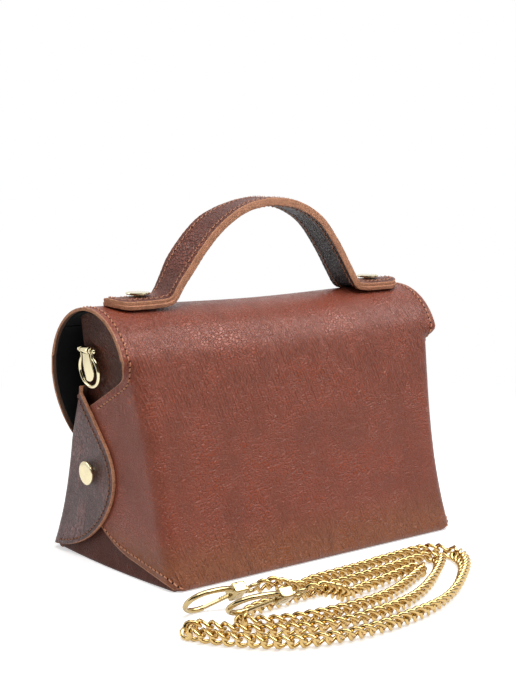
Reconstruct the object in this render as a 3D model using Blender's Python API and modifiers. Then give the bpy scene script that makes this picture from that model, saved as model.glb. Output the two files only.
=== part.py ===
"""Small structured leather handbag with a flap, a stitched top handle and a clip-on chain strap.

Frame: metres, +Z up, origin under the middle of the bag. +X runs along the bag, the flap
hangs down its front at -Y and the plain back panel faces +Y. The chain lies folded on the
floor behind the back panel.
"""

import bmesh
import bpy
import math
from mathutils import Matrix, Vector

# The bag as a whole
HEIGHT = 0.150
BASE_DEPTH = 0.123
TOP_LENGTH = 0.239
LEATHER = 0.0018
GAP = 0.0003
LINING = 0.0008
SLACK = 0.0006
OVERRUN = 0.002
WELD = 0.00001

# The round top, seen from the end
ARCH_RADIUS = 0.038
ARCH_CENTRE_Y = -0.004
TOP_SAG = 0.0022
SAG_FOOT = 0.070
HINGE_ANGLE = math.radians(134)
HINGE_GAP = 0.0008

# The panels, seen from the end
TUCK_RADIUS = 0.0036
TUCK_FLAT = 0.001
PANEL_HOLLOW = 0.0024
FRONT_TOP_Y = -0.029
FRONT_TOP_DROP = 0.047
FRONT_TOP_Z = HEIGHT - FRONT_TOP_DROP

# The ends lean outwards from a waist
WAIST_DRAW = 0.0328
WAIST_LENGTH = TOP_LENGTH - WAIST_DRAW
WAIST_HEIGHT = 0.030
END_FLARE = 0.0109

# The back wing: where the back panel wraps round the ends
BACK_CORNER = 0.0085
KEYHOLE_DROP = 0.037
KEYHOLE_CORNER_Z = HEIGHT - KEYHOLE_DROP
FUNNEL_TOP_DROP = 0.0255
FUNNEL_TOP_Z = HEIGHT - FUNNEL_TOP_DROP
FUNNEL_RISE = 0.016
FUNNEL_FOOT_Z = FUNNEL_TOP_Z - FUNNEL_RISE
WING_TOP_SLOPE_SHARE = 2.0
BACK_WING_REACH = 0.0609
BACK_WING_GIRTH = WAIST_LENGTH / 2.0 + BACK_WING_REACH
WING_RISE = 0.013
WING_FOOT = 0.0016
WING_BLEND_Z = 0.040

# The front wing: a lobe that laps over the back wing
FRONT_CORNER = 0.005
LOBE_TOP_DROP = 0.0015
LOBE_TOP_Z = FRONT_TOP_Z - LOBE_TOP_DROP
LOBE_TOP_Y = -0.021
LOBE_REACH_Y = 0.0094
LOBE_REACH_Z = 0.0525
LOBE_FOOT_Z = 0.0035
LOBE_TOP_SHARE = 1.22
LOBE_FOOT_SHARE = 1.92

# The flap
FLAP_CENTRE_DROP = 0.031
FLAP_CENTRE_Z = HEIGHT - FLAP_CENTRE_DROP
FLAP_DROP = 0.084
FLAP_FOOT_Z = FLAP_CENTRE_Z - FLAP_DROP
FLAP_STAND = 0.0070
FLAP_BEND = 0.003
FLAP_FULL_SHARE = 0.87

# The gussets and the base
GUSSET_EDGE_TOP_Y = -0.0195
BASE_CORNER = 0.0024
TAB_HEIGHT = 0.021
TAB_HALF_FOOT = 0.050
TAB_HALF_TOP = 0.036
BASE_TAPER = 0.012
BASE_BULGE = 0.0024
BASE_BULGE_Z = 0.012

# The handle
HANDLE_WIDTH = 0.022
HANDLE_RISE = 0.0580
HANDLE_Y = 0.0011
HANDLE_BOW = 0.0028
HANDLE_LEAN = 0.0060
STRIP = 0.0023
HANDLE_TIP_INSET = 0.0107
HANDLE_TIP_X = TOP_LENGTH / 2.0 - HANDLE_TIP_INSET
HANDLE_FOOT_LENGTH = 0.0313
HANDLE_BEND_X = HANDLE_TIP_X - HANDLE_FOOT_LENGTH
HANDLE_PIVOT_RISE = 0.0165
HANDLE_CLEARANCE = 0.0005

# The studs, and the caps that clench them inside the bag
HANDLE_STUD_INSET = 0.0206
HANDLE_STUD_X = HANDLE_TIP_X - HANDLE_STUD_INSET
STUD_HEAD_RADIUS = 0.0069
STUD_HEAD = 0.0014
STUD_BEVEL = 0.0006
STUD_NECK_RADIUS = 0.0034
STUD_POST_RADIUS = 0.0017
CAP_RADIUS = 0.0045
CAP_HEIGHT = 0.0014
WING_STUD_Y = -0.016
WING_STUD_Z = 0.054
SIDE_NECK = 0.0020
SIDE_HEAD = 0.0022

# The ring fitting on each gusset
RING_Y = -0.0138
PIN_DROP = 0.0252
PIN_Z = HEIGHT - PIN_DROP
PIN_RADIUS = 0.0010
PIN_HALF = 0.0077
BALL_RADIUS = 0.0014
BARREL_RADIUS = 0.00235
BARREL_HALF = 0.0036
PLATE_LENGTH = 0.0180
PLATE_TOP_HALF = 0.0038
PLATE_FOOT_HALF = 0.0050
PLATE = 0.0008
RING_WIRE = 0.00125
RING_RADIUS = 0.0094
RING_DROP = 0.0120
RING_ARM_Y = 0.0052
RING_EYE = 0.0020
RING_EYE_HALF = 0.0008

# The magnetic snap behind the flap
SNAP_RADIUS = 0.0080
SNAP_RISE = 0.015
SNAP_Z = FLAP_FOOT_Z + SNAP_RISE
SNAP_DISC = 0.0012
SNAP_BOSS_RADIUS = 0.0038

# The chain, which is drawn as one round cord of the links' mean width
CHAIN_DIAMETER = 0.0060
CHAIN_REST_Z = CHAIN_DIAMETER / 2.0

# The trigger clasps at its two ends
CLASP_WIRE = 0.00135
CLASP_BLOCK_LENGTH = 0.0080
CLASP_BLOCK_HEIGHT = 0.0098
CLASP_BLOCK_WIDTH = 0.0058
CLASP_BLOCK_BEVEL = 0.0006
CLASP_BORE = 0.0014
CLASP_SLOT = 0.0022
GATE_WIDTH = 0.0016
GATE_HEIGHT = 0.0024
GATE_PIN_RADIUS = 0.0006
SWIVEL_SHANK = 0.0011
SWIVEL_COLLAR = 0.0021
SWIVEL_EYE = 0.0034
SWIVEL_WIRE = 0.0010
SWIVEL_REACH = 0.0064

COLOURS = {
    "leather": ((0.19, 0.062, 0.040), 0.0, 0.45),
    "dark_leather": ((0.075, 0.028, 0.022), 0.0, 0.40),
    "lining": ((0.012, 0.011, 0.012), 0.0, 0.85),
    "gold": ((0.80, 0.62, 0.30), 1.0, 0.18),
}

for old in list(bpy.data.objects):
    bpy.data.objects.remove(old, do_unlink=True)

parts = bpy.data.collections.new("leather_handbag")
guides = bpy.data.collections.new("cutters_and_guides")
bpy.context.scene.collection.children.link(parts)
bpy.context.scene.collection.children.link(guides)


def lerp(low, high, share):
    return low + (high - low) * share


def clamp(share):
    return min(1.0, max(0.0, share))


def ease(share):
    share = clamp(share)
    return share * share * (3.0 - 2.0 * share)


def material(kind, name):
    colour, metallic, roughness = COLOURS[kind]
    made = bpy.data.materials.new(name)
    made.use_nodes = True
    shader = made.node_tree.nodes["Principled BSDF"]
    shader.inputs["Base Color"].default_value = (*colour, 1.0)
    shader.inputs["Metallic"].default_value = metallic
    shader.inputs["Roughness"].default_value = roughness
    return made


def place(mesh, name, kind, collection=None):
    """Makes an object of a mesh, or of a curve, and puts it in its collection."""
    made = bpy.data.objects.new(name, mesh)
    (collection or parts).objects.link(made)
    if kind:
        mesh.materials.append(material(kind, name))
    return made


def smooth(piece, angle=math.radians(35)):
    piece.data.shade_smooth()
    piece.data.set_sharp_from_angle(angle=angle)
    return piece


def sheet(name, kind, rows, thickness, flip=False):
    """A lofted open surface through rows of points, given its thickness inwards."""
    surface = bmesh.new()
    grid = [[surface.verts.new(point) for point in row] for row in rows]
    for lower, upper in zip(grid, grid[1:]):
        for a, b, c, d in zip(lower, lower[1:], upper[1:], upper):
            surface.faces.new((d, c, b, a) if flip else (a, b, c, d))
    mesh = bpy.data.meshes.new(name)
    surface.to_mesh(mesh)
    surface.free()
    piece = place(mesh, name, kind)
    solid = piece.modifiers.new("thickness", "SOLIDIFY")
    solid.thickness = thickness
    solid.offset = -1.0
    return smooth(piece)


def cutter_from(mesh, name):
    made = place(mesh, name, None, guides)
    made.hide_render = True
    made.display_type = "WIRE"
    return made


def cylinder(name, radius, start, end, sides=24, collection=None, kind=None):
    """A round bar between two points."""
    start, end = Vector(start), Vector(end)
    bar = bmesh.new()
    turn = (end - start).to_track_quat("Z", "Y").to_matrix().to_4x4()
    bmesh.ops.create_cone(
        bar, cap_ends=True, segments=sides, radius1=radius, radius2=radius, depth=(end - start).length,
        matrix=Matrix.Translation((start + end) / 2.0) @ turn,
    )
    mesh = bpy.data.meshes.new(name)
    bar.to_mesh(mesh)
    bar.free()
    if kind:
        return smooth(place(mesh, name, kind, collection))
    return cutter_from(mesh, name)


def box(name, low, high):
    low, high = Vector(low), Vector(high)
    block = bmesh.new()
    size = Matrix.Diagonal((*(high - low), 1.0))
    bmesh.ops.create_cube(block, size=1.0, matrix=Matrix.Translation((low + high) / 2.0) @ size)
    mesh = bpy.data.meshes.new(name)
    block.to_mesh(mesh)
    block.free()
    return cutter_from(mesh, name)


def boolean(piece, other, operation="DIFFERENCE"):
    cut = piece.modifiers.new(other.name, "BOOLEAN")
    cut.operation = operation
    cut.object = other
    return piece


def turned(name, kind, profile, closed=False, steps=20, collection=None):
    """Turns a profile of (radius, height) points about its own Z axis."""
    mesh = bpy.data.meshes.new(name)
    points = [(radius, 0.0, height) for radius, height in profile]
    edges = [(i, i + 1) for i in range(len(points) - 1)]
    if closed:
        edges.append((len(points) - 1, 0))
    mesh.from_pydata(points, edges, [])
    piece = place(mesh, name, kind, collection)
    screw = piece.modifiers.new("turn", "SCREW")
    screw.steps = screw.render_steps = steps
    screw.use_merge_vertices = True
    screw.merge_threshold = WELD
    screw.use_smooth_shade = True
    return piece


def outline(name, kind, points, thickness, collection=None):
    """A flat plate: a closed outline in its own XY plane, given its thickness along Z."""
    curve = bpy.data.curves.new(name, "CURVE")
    curve.dimensions = "2D"
    curve.fill_mode = "BOTH"
    curve.extrude = thickness / 2.0
    line = curve.splines.new("POLY")
    line.points.add(len(points) - 1)
    for point, (x, y) in zip(line.points, points):
        point.co = (x, y, 0.0, 1.0)
    line.use_cyclic_u = True
    return place(curve, name, kind, collection)


def wire(name, kind, points, radius, closed=False, rounding=2, collection=None):
    """A round wire through a list of points."""
    curve = bpy.data.curves.new(name, "CURVE")
    curve.dimensions = "3D"
    curve.bevel_depth = radius
    curve.bevel_resolution = rounding
    curve.use_fill_caps = True
    line = curve.splines.new("POLY")
    line.points.add(len(points) - 1)
    for point, place_at in zip(line.points, points):
        point.co = (*place_at, 1.0)
    line.use_cyclic_u = closed
    return place(curve, name, kind, collection)


def as_mesh(piece, collection=None):
    """Swaps a curve for the mesh of the same shape, so that it can be cut or joined."""
    bpy.context.view_layer.update()
    seen = piece.evaluated_get(bpy.context.evaluated_depsgraph_get())
    mesh = bpy.data.meshes.new_from_object(seen)
    weld = bmesh.new()
    weld.from_mesh(mesh)
    bmesh.ops.remove_doubles(weld, verts=weld.verts, dist=WELD)
    bmesh.ops.recalc_face_normals(weld, faces=weld.faces)
    weld.to_mesh(mesh)
    weld.free()
    name = piece.name
    matrix = piece.matrix_world.copy()
    bpy.data.objects.remove(piece, do_unlink=True)
    made = bpy.data.objects.new(name, mesh)
    made.matrix_world = matrix
    (collection or parts).objects.link(made)
    return made


def guide_mesh(piece):
    """Makes a curve into a mesh that only cuts or joins other pieces."""
    made = as_mesh(piece, guides)
    made.hide_render = True
    made.display_type = "WIRE"
    return made


def empty(name, matrix):
    made = bpy.data.objects.new(name, None)
    made.matrix_world = matrix
    guides.objects.link(made)
    return made


def ride(piece, parent):
    """Puts a piece that is drawn in a parent's own frame onto that parent."""
    piece.parent = parent
    return piece


# The bag's section

ARCH_CENTRE_Z = HEIGHT - ARCH_RADIUS


def arch_tangent(y, z):
    """The angle at which a line from a point outside meets the arch."""
    out_y, out_z = y - ARCH_CENTRE_Y, z - ARCH_CENTRE_Z
    return math.atan2(out_z, out_y) + math.acos(ARCH_RADIUS / math.hypot(out_y, out_z))


BACK_ANGLE = arch_tangent(BASE_DEPTH / 2.0, TUCK_RADIUS)


def arch_point(angle, inset=0.0):
    radius = ARCH_RADIUS - inset
    return ARCH_CENTRE_Y + radius * math.cos(angle), ARCH_CENTRE_Z + radius * math.sin(angle)


BACK_TOP_Y, BACK_TOP_Z = arch_point(BACK_ANGLE)


def hollow(share):
    """How far a panel is drawn in, most at a third of its height."""
    share = clamp(share)
    return PANEL_HOLLOW * 6.75 * share * (1.0 - share) ** 2


def back_y(z):
    """The outer face of the back panel, and of the arch above it."""
    if z > BACK_TOP_Z:
        rise = min(z - ARCH_CENTRE_Z, ARCH_RADIUS)
        return ARCH_CENTRE_Y + math.sqrt(ARCH_RADIUS ** 2 - rise ** 2)
    share = (z - TUCK_RADIUS) / (BACK_TOP_Z - TUCK_RADIUS)
    return lerp(BASE_DEPTH / 2.0, BACK_TOP_Y, share) - hollow(share)


def front_y(z):
    """The outer face of the front panel."""
    share = (z - TUCK_RADIUS) / (FRONT_TOP_Z - TUCK_RADIUS)
    return lerp(-BASE_DEPTH / 2.0, FRONT_TOP_Y, share) + hollow(share)


def flap_y(z):
    """The outer face of the flap: it hangs from the arch, then follows the front panel at a distance."""
    hang = ARCH_CENTRE_Y - ARCH_RADIUS
    stand = front_y(z) - FLAP_STAND
    share = clamp((1.0 + (stand - hang) / FLAP_BEND) / 2.0)
    return lerp(stand, hang, share) - FLAP_BEND * share * (1.0 - share)


def end_x(z):
    """The outer face of a gusset: a shallow bowl that opens upwards."""
    return WAIST_LENGTH / 2.0 + END_FLARE * ((z - WAIST_HEIGHT) / (HEIGHT - WAIST_HEIGHT)) ** 2


def sag(x, z):
    """How far the soft top sinks between the ends."""
    along = math.cos(math.pi * clamp(abs(x) / TOP_LENGTH * 2.0) / 2.0)
    return TOP_SAG * along ** 2 * ease((z - SAG_FOOT) / (HEIGHT - SAG_FOOT))


def sunk(x, y, z):
    return x, y, z - sag(x, z)


TUCK_STEPS = 4
TAB_X = GAP + LEATHER
BACK_WING_X = TAB_X + GAP + LEATHER
FRONT_WING_X = BACK_WING_X + GAP + LEATHER


def tuck_rows():
    """The lower edge of a panel, which rolls under the bag: (inset, height) of each row."""
    rows = [(TUCK_RADIUS + TUCK_FLAT, 0.0)]
    for step in range(TUCK_STEPS + 1):
        angle = math.pi / 2.0 * (step / TUCK_STEPS - 1.0)
        rows.append((TUCK_RADIUS * (1.0 - math.cos(angle)), TUCK_RADIUS * (1.0 + math.sin(angle))))
    return rows


def rise_of(inset, z):
    """The distance up the leather from the panel's lower edge."""
    if z < TUCK_RADIUS:
        angle = math.acos(max(-1.0, min(1.0, 1.0 - z / TUCK_RADIUS)))
        return TUCK_FLAT * (z > 0.0 or inset <= TUCK_RADIUS) + TUCK_RADIUS * angle
    return TUCK_FLAT + TUCK_RADIUS * math.pi / 2.0 + z - TUCK_RADIUS


# The main leather: back panel, top and the two back wings

MAIN_SHARE = 0.56
WING_FADE_SHARE = 6.0
WING_STEP_SHARE = 1.15
PANEL_STEPS = 12
FRONT_STEPS = 12
ARCH_STEPS = 10
FLAP_DOWN = 10
FLAP_ACROSS = 18


def wrap(distance, start, corner, turn):
    """Follows the leather round a bag's corner: how far out it is, and how far along the end."""
    if distance <= start:
        return distance, 0.0
    angle = (distance - start) / corner
    if angle <= turn:
        return start + corner * math.sin(angle), corner * (1.0 - math.cos(angle))
    past = distance - start - corner * turn
    return (
        start + corner * math.sin(turn) + past * math.cos(turn),
        corner * (1.0 - math.cos(turn)) + past * math.sin(turn),
    )


def back_wing_end(z):
    """The girth, from the middle of the back, at which the back wing ends."""
    return min(BACK_WING_GIRTH, TOP_LENGTH / 2.0 + WING_TOP_SLOPE_SHARE * max(0.0, KEYHOLE_CORNER_Z - z))


def back_point(inset, z, share):
    """A point of the back panel's outer face: share runs from -1 to 1 across the bag."""
    reach = abs(share)
    side = math.copysign(1.0, share)
    start = end_x(z) + BACK_WING_X - BACK_CORNER
    if reach <= MAIN_SHARE:
        x = start * reach / MAIN_SHARE
        return sunk(side * x, back_y(max(z, TUCK_RADIUS)) - inset, z)
    along = (reach - MAIN_SHARE) / (1.0 - MAIN_SHARE)
    low = WING_FOOT + WING_RISE * along
    wing_z = z
    fade = ease(along * WING_FADE_SHARE)
    if z < WING_BLEND_Z:
        wing_z = lerp(low, WING_BLEND_Z, rise_of(inset, z) / rise_of(0.0, WING_BLEND_Z))
    wing_z = lerp(z, wing_z, fade)
    start = end_x(wing_z) + BACK_WING_X - BACK_CORNER
    turn = math.pi / 2.0 * (1.0 - ease((wing_z - FUNNEL_FOOT_Z) / (FUNNEL_TOP_Z - FUNNEL_FOOT_Z)))
    distance = lerp(start, back_wing_end(wing_z), along)
    x, back = wrap(distance, start, BACK_CORNER, turn)
    y = back_y(max(wing_z, TUCK_RADIUS)) - back - inset * (1.0 - fade)
    return sunk(side * x, y, wing_z)


def across(main, wing):
    """Shares across a wrapped panel: wide steps over its middle, short ones round the ends."""
    middle = [MAIN_SHARE * (2.0 * i / main - 1.0) for i in range(main + 1)]
    ends = [MAIN_SHARE + (1.0 - MAIN_SHARE) * (i / wing) ** WING_STEP_SHARE for i in range(1, wing + 1)]
    return [-share for share in reversed(ends)] + middle + ends


def arch_angle(step):
    """The angle of each row over the top, from the back panel round to the flap's hinge."""
    return lerp(BACK_ANGLE, HINGE_ANGLE - HINGE_GAP / 2.0 / ARCH_RADIUS, step / ARCH_STEPS)


def unsunk_x(share):
    """How far along the bag a share of the sheet lies, over the top where nothing wraps."""
    return back_point(0.0, HEIGHT, share)[0]


def panel_heights():
    """The heights of the back panel's rows, one of them at the keyhole's corner."""
    low = [lerp(TUCK_RADIUS, KEYHOLE_CORNER_Z, i / PANEL_STEPS) for i in range(1, PANEL_STEPS + 1)]
    return low + [BACK_TOP_Z]


def back_rows(shares):
    rows = []
    for inset, z in tuck_rows():
        rows.append([back_point(inset, z, share) for share in shares])
    for z in panel_heights():
        rows.append([back_point(0.0, z, share) for share in shares])
    for i in range(1, ARCH_STEPS + 1):
        y, z = arch_point(arch_angle(i))
        if y > ARCH_CENTRE_Y:
            rows.append([back_point(0.0, z, share) for share in shares])
        else:
            rows.append([sunk(unsunk_x(share), y, z) for share in shares])
    return rows


back_panel = sheet("back_and_top_panel", "leather", back_rows(across(6, 8)), LEATHER, flip=True)


# The front panel with its two lobes

def lobe_end(z):
    """How far back along the end the front wing's free edge lies at each height."""
    if z >= LOBE_REACH_Z:
        share = clamp((z - LOBE_REACH_Z) / (LOBE_TOP_Z - LOBE_REACH_Z))
        bulge = 0.5 + 0.5 * math.cos(math.pi * share ** LOBE_TOP_SHARE)
        return lerp(LOBE_TOP_Y, LOBE_REACH_Y, bulge)
    share = clamp((LOBE_REACH_Z - z) / (LOBE_REACH_Z - LOBE_FOOT_Z))
    return lerp(front_y(LOBE_FOOT_Z), LOBE_REACH_Y, math.sqrt(max(0.0, 1.0 - share ** LOBE_FOOT_SHARE)))


def front_point(inset, z, share):
    reach = abs(share)
    side = math.copysign(1.0, share)
    start = end_x(z) + FRONT_WING_X - FRONT_CORNER
    if reach <= MAIN_SHARE:
        return side * start * reach / MAIN_SHARE, front_y(max(z, TUCK_RADIUS)) + inset, z
    along = (reach - MAIN_SHARE) / (1.0 - MAIN_SHARE)
    fade = ease(along * WING_FADE_SHARE)
    wing_z = z
    if z < WING_BLEND_Z:
        wing_z = lerp(LOBE_FOOT_Z, WING_BLEND_Z, rise_of(inset, z) / rise_of(0.0, WING_BLEND_Z))
    wing_z = lerp(z, wing_z, fade)
    start = end_x(wing_z) + FRONT_WING_X - FRONT_CORNER
    face = front_y(max(wing_z, TUCK_RADIUS))
    straight = max(0.0, lobe_end(wing_z) - face - FRONT_CORNER)
    distance = start + (FRONT_CORNER * math.pi / 2.0 + straight) * along
    x, back = wrap(distance, start, FRONT_CORNER, math.pi / 2.0)
    return side * x, face + back + inset * (1.0 - fade), wing_z


def front_rows(shares):
    rows = [[front_point(inset, z, share) for share in shares] for inset, z in tuck_rows()]
    for i in range(1, FRONT_STEPS + 1):
        z = lerp(TUCK_RADIUS, FRONT_TOP_Z, i / FRONT_STEPS)
        rows.append([front_point(0.0, z, share) for share in shares])
    return rows


front_panel = sheet("front_panel", "leather", front_rows(across(6, 6)), LEATHER)


# The flap, half-moon shaped, and its lining

HINGE_Y, HINGE_Z = arch_point(HINGE_ANGLE)


def flap_end_z(angle, trim=0.0):
    return FLAP_CENTRE_Z - (FLAP_DROP - trim) * math.cos(angle) ** FLAP_FULL_SHARE


def flap_path(end_z, inset, share, start_angle):
    """A point down the flap's section, from the hinge to its free edge."""
    arc = (ARCH_RADIUS - inset) * (math.pi - start_angle)
    hang = ARCH_CENTRE_Z - end_z
    travel = share * (arc + hang)
    if travel < arc and hang > 0.0 or hang <= 0.0:
        last = math.pi if hang > 0.0 else math.pi - math.asin(min(1.0, -hang / (ARCH_RADIUS - inset)))
        span = (arc + hang) if hang > 0.0 else (ARCH_RADIUS - inset) * (last - start_angle)
        angle = start_angle + (travel if hang > 0.0 else share * span) / (ARCH_RADIUS - inset)
        return arch_point(angle, inset)
    z = ARCH_CENTRE_Z - (travel - arc)
    return flap_y(z) + inset, z


def flap_rows(inset, trim):
    start = HINGE_ANGLE + HINGE_GAP / 2.0 / ARCH_RADIUS
    half = TOP_LENGTH / 2.0 - trim
    rows = []
    for j in range(FLAP_DOWN + 1):
        row = []
        for i in range(FLAP_ACROSS + 1):
            angle = math.pi * (i / FLAP_ACROSS - 0.5)
            y, z = flap_path(flap_end_z(angle, trim), inset, j / FLAP_DOWN, start)
            x = math.copysign(half * abs(math.sin(angle)) ** FLAP_FULL_SHARE, angle)
            row.append(sunk(x, y, z))
        rows.append(row)
    return rows


flap = sheet("flap", "leather", flap_rows(0.0, 0.0), LEATHER, flip=True)
flap_lining = sheet(
    "flap_lining", "lining", flap_rows(LEATHER + SLACK, LEATHER), LINING, flip=True
)


# The gussets close the two ends; their front edge stands free above the front panel

GUSSET_STEPS = 10
GUSSET_FOOT_SHARE = 6


def gusset_front(z):
    inner = front_y(min(z, FRONT_TOP_Z)) + LEATHER + SLACK
    if z <= FRONT_TOP_Z:
        return inner
    share = (z - FRONT_TOP_Z) / (HEIGHT - FRONT_TOP_Z)
    return lerp(inner, GUSSET_EDGE_TOP_Y, share)


def gusset_back(z):
    """The gusset's back edge, which stands clear inside the back panel's round corner."""
    inside = BACK_CORNER - LEATHER - SLACK * 2.0
    across_corner = BACK_CORNER - BACK_WING_X
    return back_y(min(z, BACK_TOP_Z)) - BACK_CORNER + math.sqrt(inside ** 2 - across_corner ** 2)


def gusset_y(z, share):
    return lerp(gusset_front(z), gusset_back(z), share)


def gusset_top(share):
    """The height at which a line up the gusset meets the underside of the arch."""
    inner = ARCH_RADIUS - LEATHER - LINING - SLACK * 2.5
    low, high = TAB_HEIGHT, HEIGHT
    for _ in range(40):
        middle = (low + high) / 2.0
        y = gusset_y(middle, share)
        inside = middle < ARCH_CENTRE_Z or math.hypot(y - ARCH_CENTRE_Y, middle - ARCH_CENTRE_Z) < inner
        low, high = (middle, high) if inside else (low, middle)
    return low


def gusset(name, side):
    rows = []
    for j in range(GUSSET_STEPS + 1):
        row = []
        for i in range(GUSSET_STEPS + 1):
            share = i / GUSSET_STEPS
            foot = BASE_CORNER + GAP + TUCK_RADIUS * abs(lerp(-1.0, 1.0, share)) ** GUSSET_FOOT_SHARE
            z = lerp(foot, gusset_top(share), j / GUSSET_STEPS)
            row.append((side * end_x(z), gusset_y(z, share), z))
        rows.append(row)
    return sheet(name, "dark_leather", rows, LEATHER, flip=side < 0.0)


gussets = {side: gusset(name, side) for name, side in (("gusset_right", 1.0), ("gusset_left", -1.0))}


# The base, whose two ends turn up over the gussets under the wings

def base_rows():
    half = BASE_DEPTH / 2.0 - TUCK_RADIUS - TUCK_FLAT - GAP
    stations = []
    for i in range(5):
        z = lerp(TAB_HEIGHT, BASE_CORNER, i / 4)
        width = lerp(TAB_HALF_FOOT, TAB_HALF_TOP, (z - BASE_CORNER) / (TAB_HEIGHT - BASE_CORNER))
        stations.append((end_x(z) + TAB_X, z, width))
    corner_x = end_x(BASE_CORNER) + TAB_X - BASE_CORNER
    for i in range(1, 6):
        angle = math.radians(18 * i)
        x = corner_x + BASE_CORNER * math.cos(angle)
        stations.append((x, BASE_CORNER * (1.0 - math.sin(angle)), TAB_HALF_FOOT))
    stations.append((corner_x - BASE_TAPER, 0.0, half))
    stations.append((0.0, 0.0, half))
    mirrored = [(-x, z, width) for x, z, width in reversed(stations[:-1])]
    rows = []
    for x, z, width in stations + mirrored:
        row = []
        for i in range(9):
            across_share = 2.0 * i / 8 - 1.0
            bulge = BASE_BULGE * (1.0 - across_share ** 2) * clamp(1.0 - z / BASE_BULGE_Z) ** 2
            bulge *= clamp((abs(x) - corner_x + BASE_TAPER) / BASE_TAPER)
            row.append((x + math.copysign(bulge, x), width * across_share, z))
        rows.append(row)
    return rows


base_panel = sheet("base_panel", "leather", base_rows(), LEATHER, flip=True)


# The body lining: one cloth down the front, across the base, up the back and round the top

LINING_ACROSS = 8
LINING_SPREAD_SHARE = 2.5


def lining_rows():
    layer = LEATHER + SLACK
    section = [(front_y(FRONT_TOP_Z - LEATHER) + layer, FRONT_TOP_Z - LEATHER)]
    for i in range(FRONT_STEPS - 1, 0, -1):
        z = lerp(TUCK_RADIUS, FRONT_TOP_Z, i / FRONT_STEPS)
        section.append((front_y(z) + layer, z))
    for i in range(1, 4):
        angle = math.radians(30 * i)
        y = front_y(TUCK_RADIUS) + layer + TUCK_RADIUS * (1.0 - math.cos(angle))
        section.append((y, layer + TUCK_RADIUS * (1.0 - math.sin(angle))))
    for i in range(3, 0, -1):
        angle = math.radians(30 * i)
        y = back_y(TUCK_RADIUS) - layer - TUCK_RADIUS * (1.0 - math.cos(angle))
        section.append((y, layer + TUCK_RADIUS * (1.0 - math.sin(angle))))
    for z in panel_heights():
        section.append((back_y(z) - layer, z))
    for i in range(1, ARCH_STEPS + 1):
        section.append(arch_point(arch_angle(i), layer))
    rows = []
    for y, z in section:
        half = end_x(z) + BACK_WING_X - BACK_CORNER
        if z > BACK_TOP_Z:
            top = arch_point(math.pi / 2.0)[1] - layer
            share = ease((z - BACK_TOP_Z) / (top - BACK_TOP_Z) * LINING_SPREAD_SHARE)
            half = lerp(half, TOP_LENGTH / 2.0 - LEATHER, share if y > ARCH_CENTRE_Y else 1.0)
        rows.append([sunk(half * lerp(-1.0, 1.0, i / LINING_ACROSS), y, z) for i in range(LINING_ACROSS + 1)])
    return rows


body_lining = sheet("body_lining", "lining", lining_rows(), LINING, flip=True)


# The handle: two strips sewn back to back, rising from two flat feet

HANDLE_BASE_Z = HEIGHT + GAP
PIVOT_Z = HANDLE_BASE_Z + HANDLE_PIVOT_RISE


def handle_line():
    """The underside of the strap from its right tip to its left one: (x, z) points."""
    under = HANDLE_BASE_Z
    peak = HANDLE_RISE - 2.0 * STRIP - GAP
    half_shares = [
        (1.03, 0.000), (0.785, 0.000), (0.725, 0.003), (0.690, 0.009), (0.660, 0.022),
        (0.634, 0.052), (0.604, 0.115), (0.561, 0.230), (0.512, 0.384), (0.455, 0.537),
        (0.388, 0.691), (0.326, 0.800), (0.250, 0.889), (0.190, 0.938), (0.130, 0.973), (0.035, 1.000),
    ]
    points = []
    for sign, table in ((1.0, half_shares), (-1.0, half_shares[::-1])):
        for x_share, z_share in table:
            lean = HANDLE_BOW * z_share - HANDLE_LEAN * z_share ** 2
            points.append((sign * HANDLE_TIP_X * x_share + lean, under + peak * z_share))
    return points


def offset_line(points, distance):
    """Moves a line of points out along its own normals, upwards on the feet."""
    moved = []
    for i, (x, z) in enumerate(points):
        before = points[max(0, i - 1)]
        after = points[min(len(points) - 1, i + 1)]
        along = Vector((after[0] - before[0], after[1] - before[1])).normalized()
        moved.append((x + along.y * distance, z - along.x * distance))
    return moved


def ribbon(name, kind, inner, outer, collection=None):
    """A band with the section between two distances from the strap's underside."""
    line = handle_line()
    edge = offset_line(line, inner) + offset_line(line, outer)[::-1]
    band = outline(name, kind, edge, HANDLE_WIDTH, collection)
    band.matrix_world = Matrix.Translation((0.0, HANDLE_Y, 0.0)) @ Matrix.Rotation(math.pi / 2.0, 4, "X")
    bpy.context.view_layer.update()
    return band


def round_feet(side):
    """A slab with a round end, which leaves a strip's foot round in plan."""
    radius = HANDLE_WIDTH / 2.0
    tip = side * HANDLE_TIP_X
    middle = tip - side * radius
    points = []
    points.append((middle, HANDLE_Y - radius - OVERRUN))
    for i in range(1, 16):
        angle = math.pi * (i / 16 - 0.5)
        points.append((middle + side * radius * math.cos(angle), HANDLE_Y + radius * math.sin(angle)))
    points.append((middle, HANDLE_Y + radius + OVERRUN))
    for sign in (1.0, -1.0):
        points.append((side * HANDLE_BEND_X / 2.0, HANDLE_Y + sign * (radius + OVERRUN)))
    slab = outline(f"foot_plan_{name_of(side)}", None, points, HANDLE_RISE * 4.0, guides)
    slab.location.z = HANDLE_BASE_Z
    return guide_mesh(slab)


def name_of(side):
    return "right" if side > 0.0 else "left"


def pivot_round(name, radius, reach):
    """A round bar between the two bends, centred on the line that the handle tilts about."""
    start = (-reach, HANDLE_Y, PIVOT_Z)
    end = (reach, HANDLE_Y, PIVOT_Z)
    return cylinder(name, radius, start, end, sides=48, collection=guides)


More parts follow.
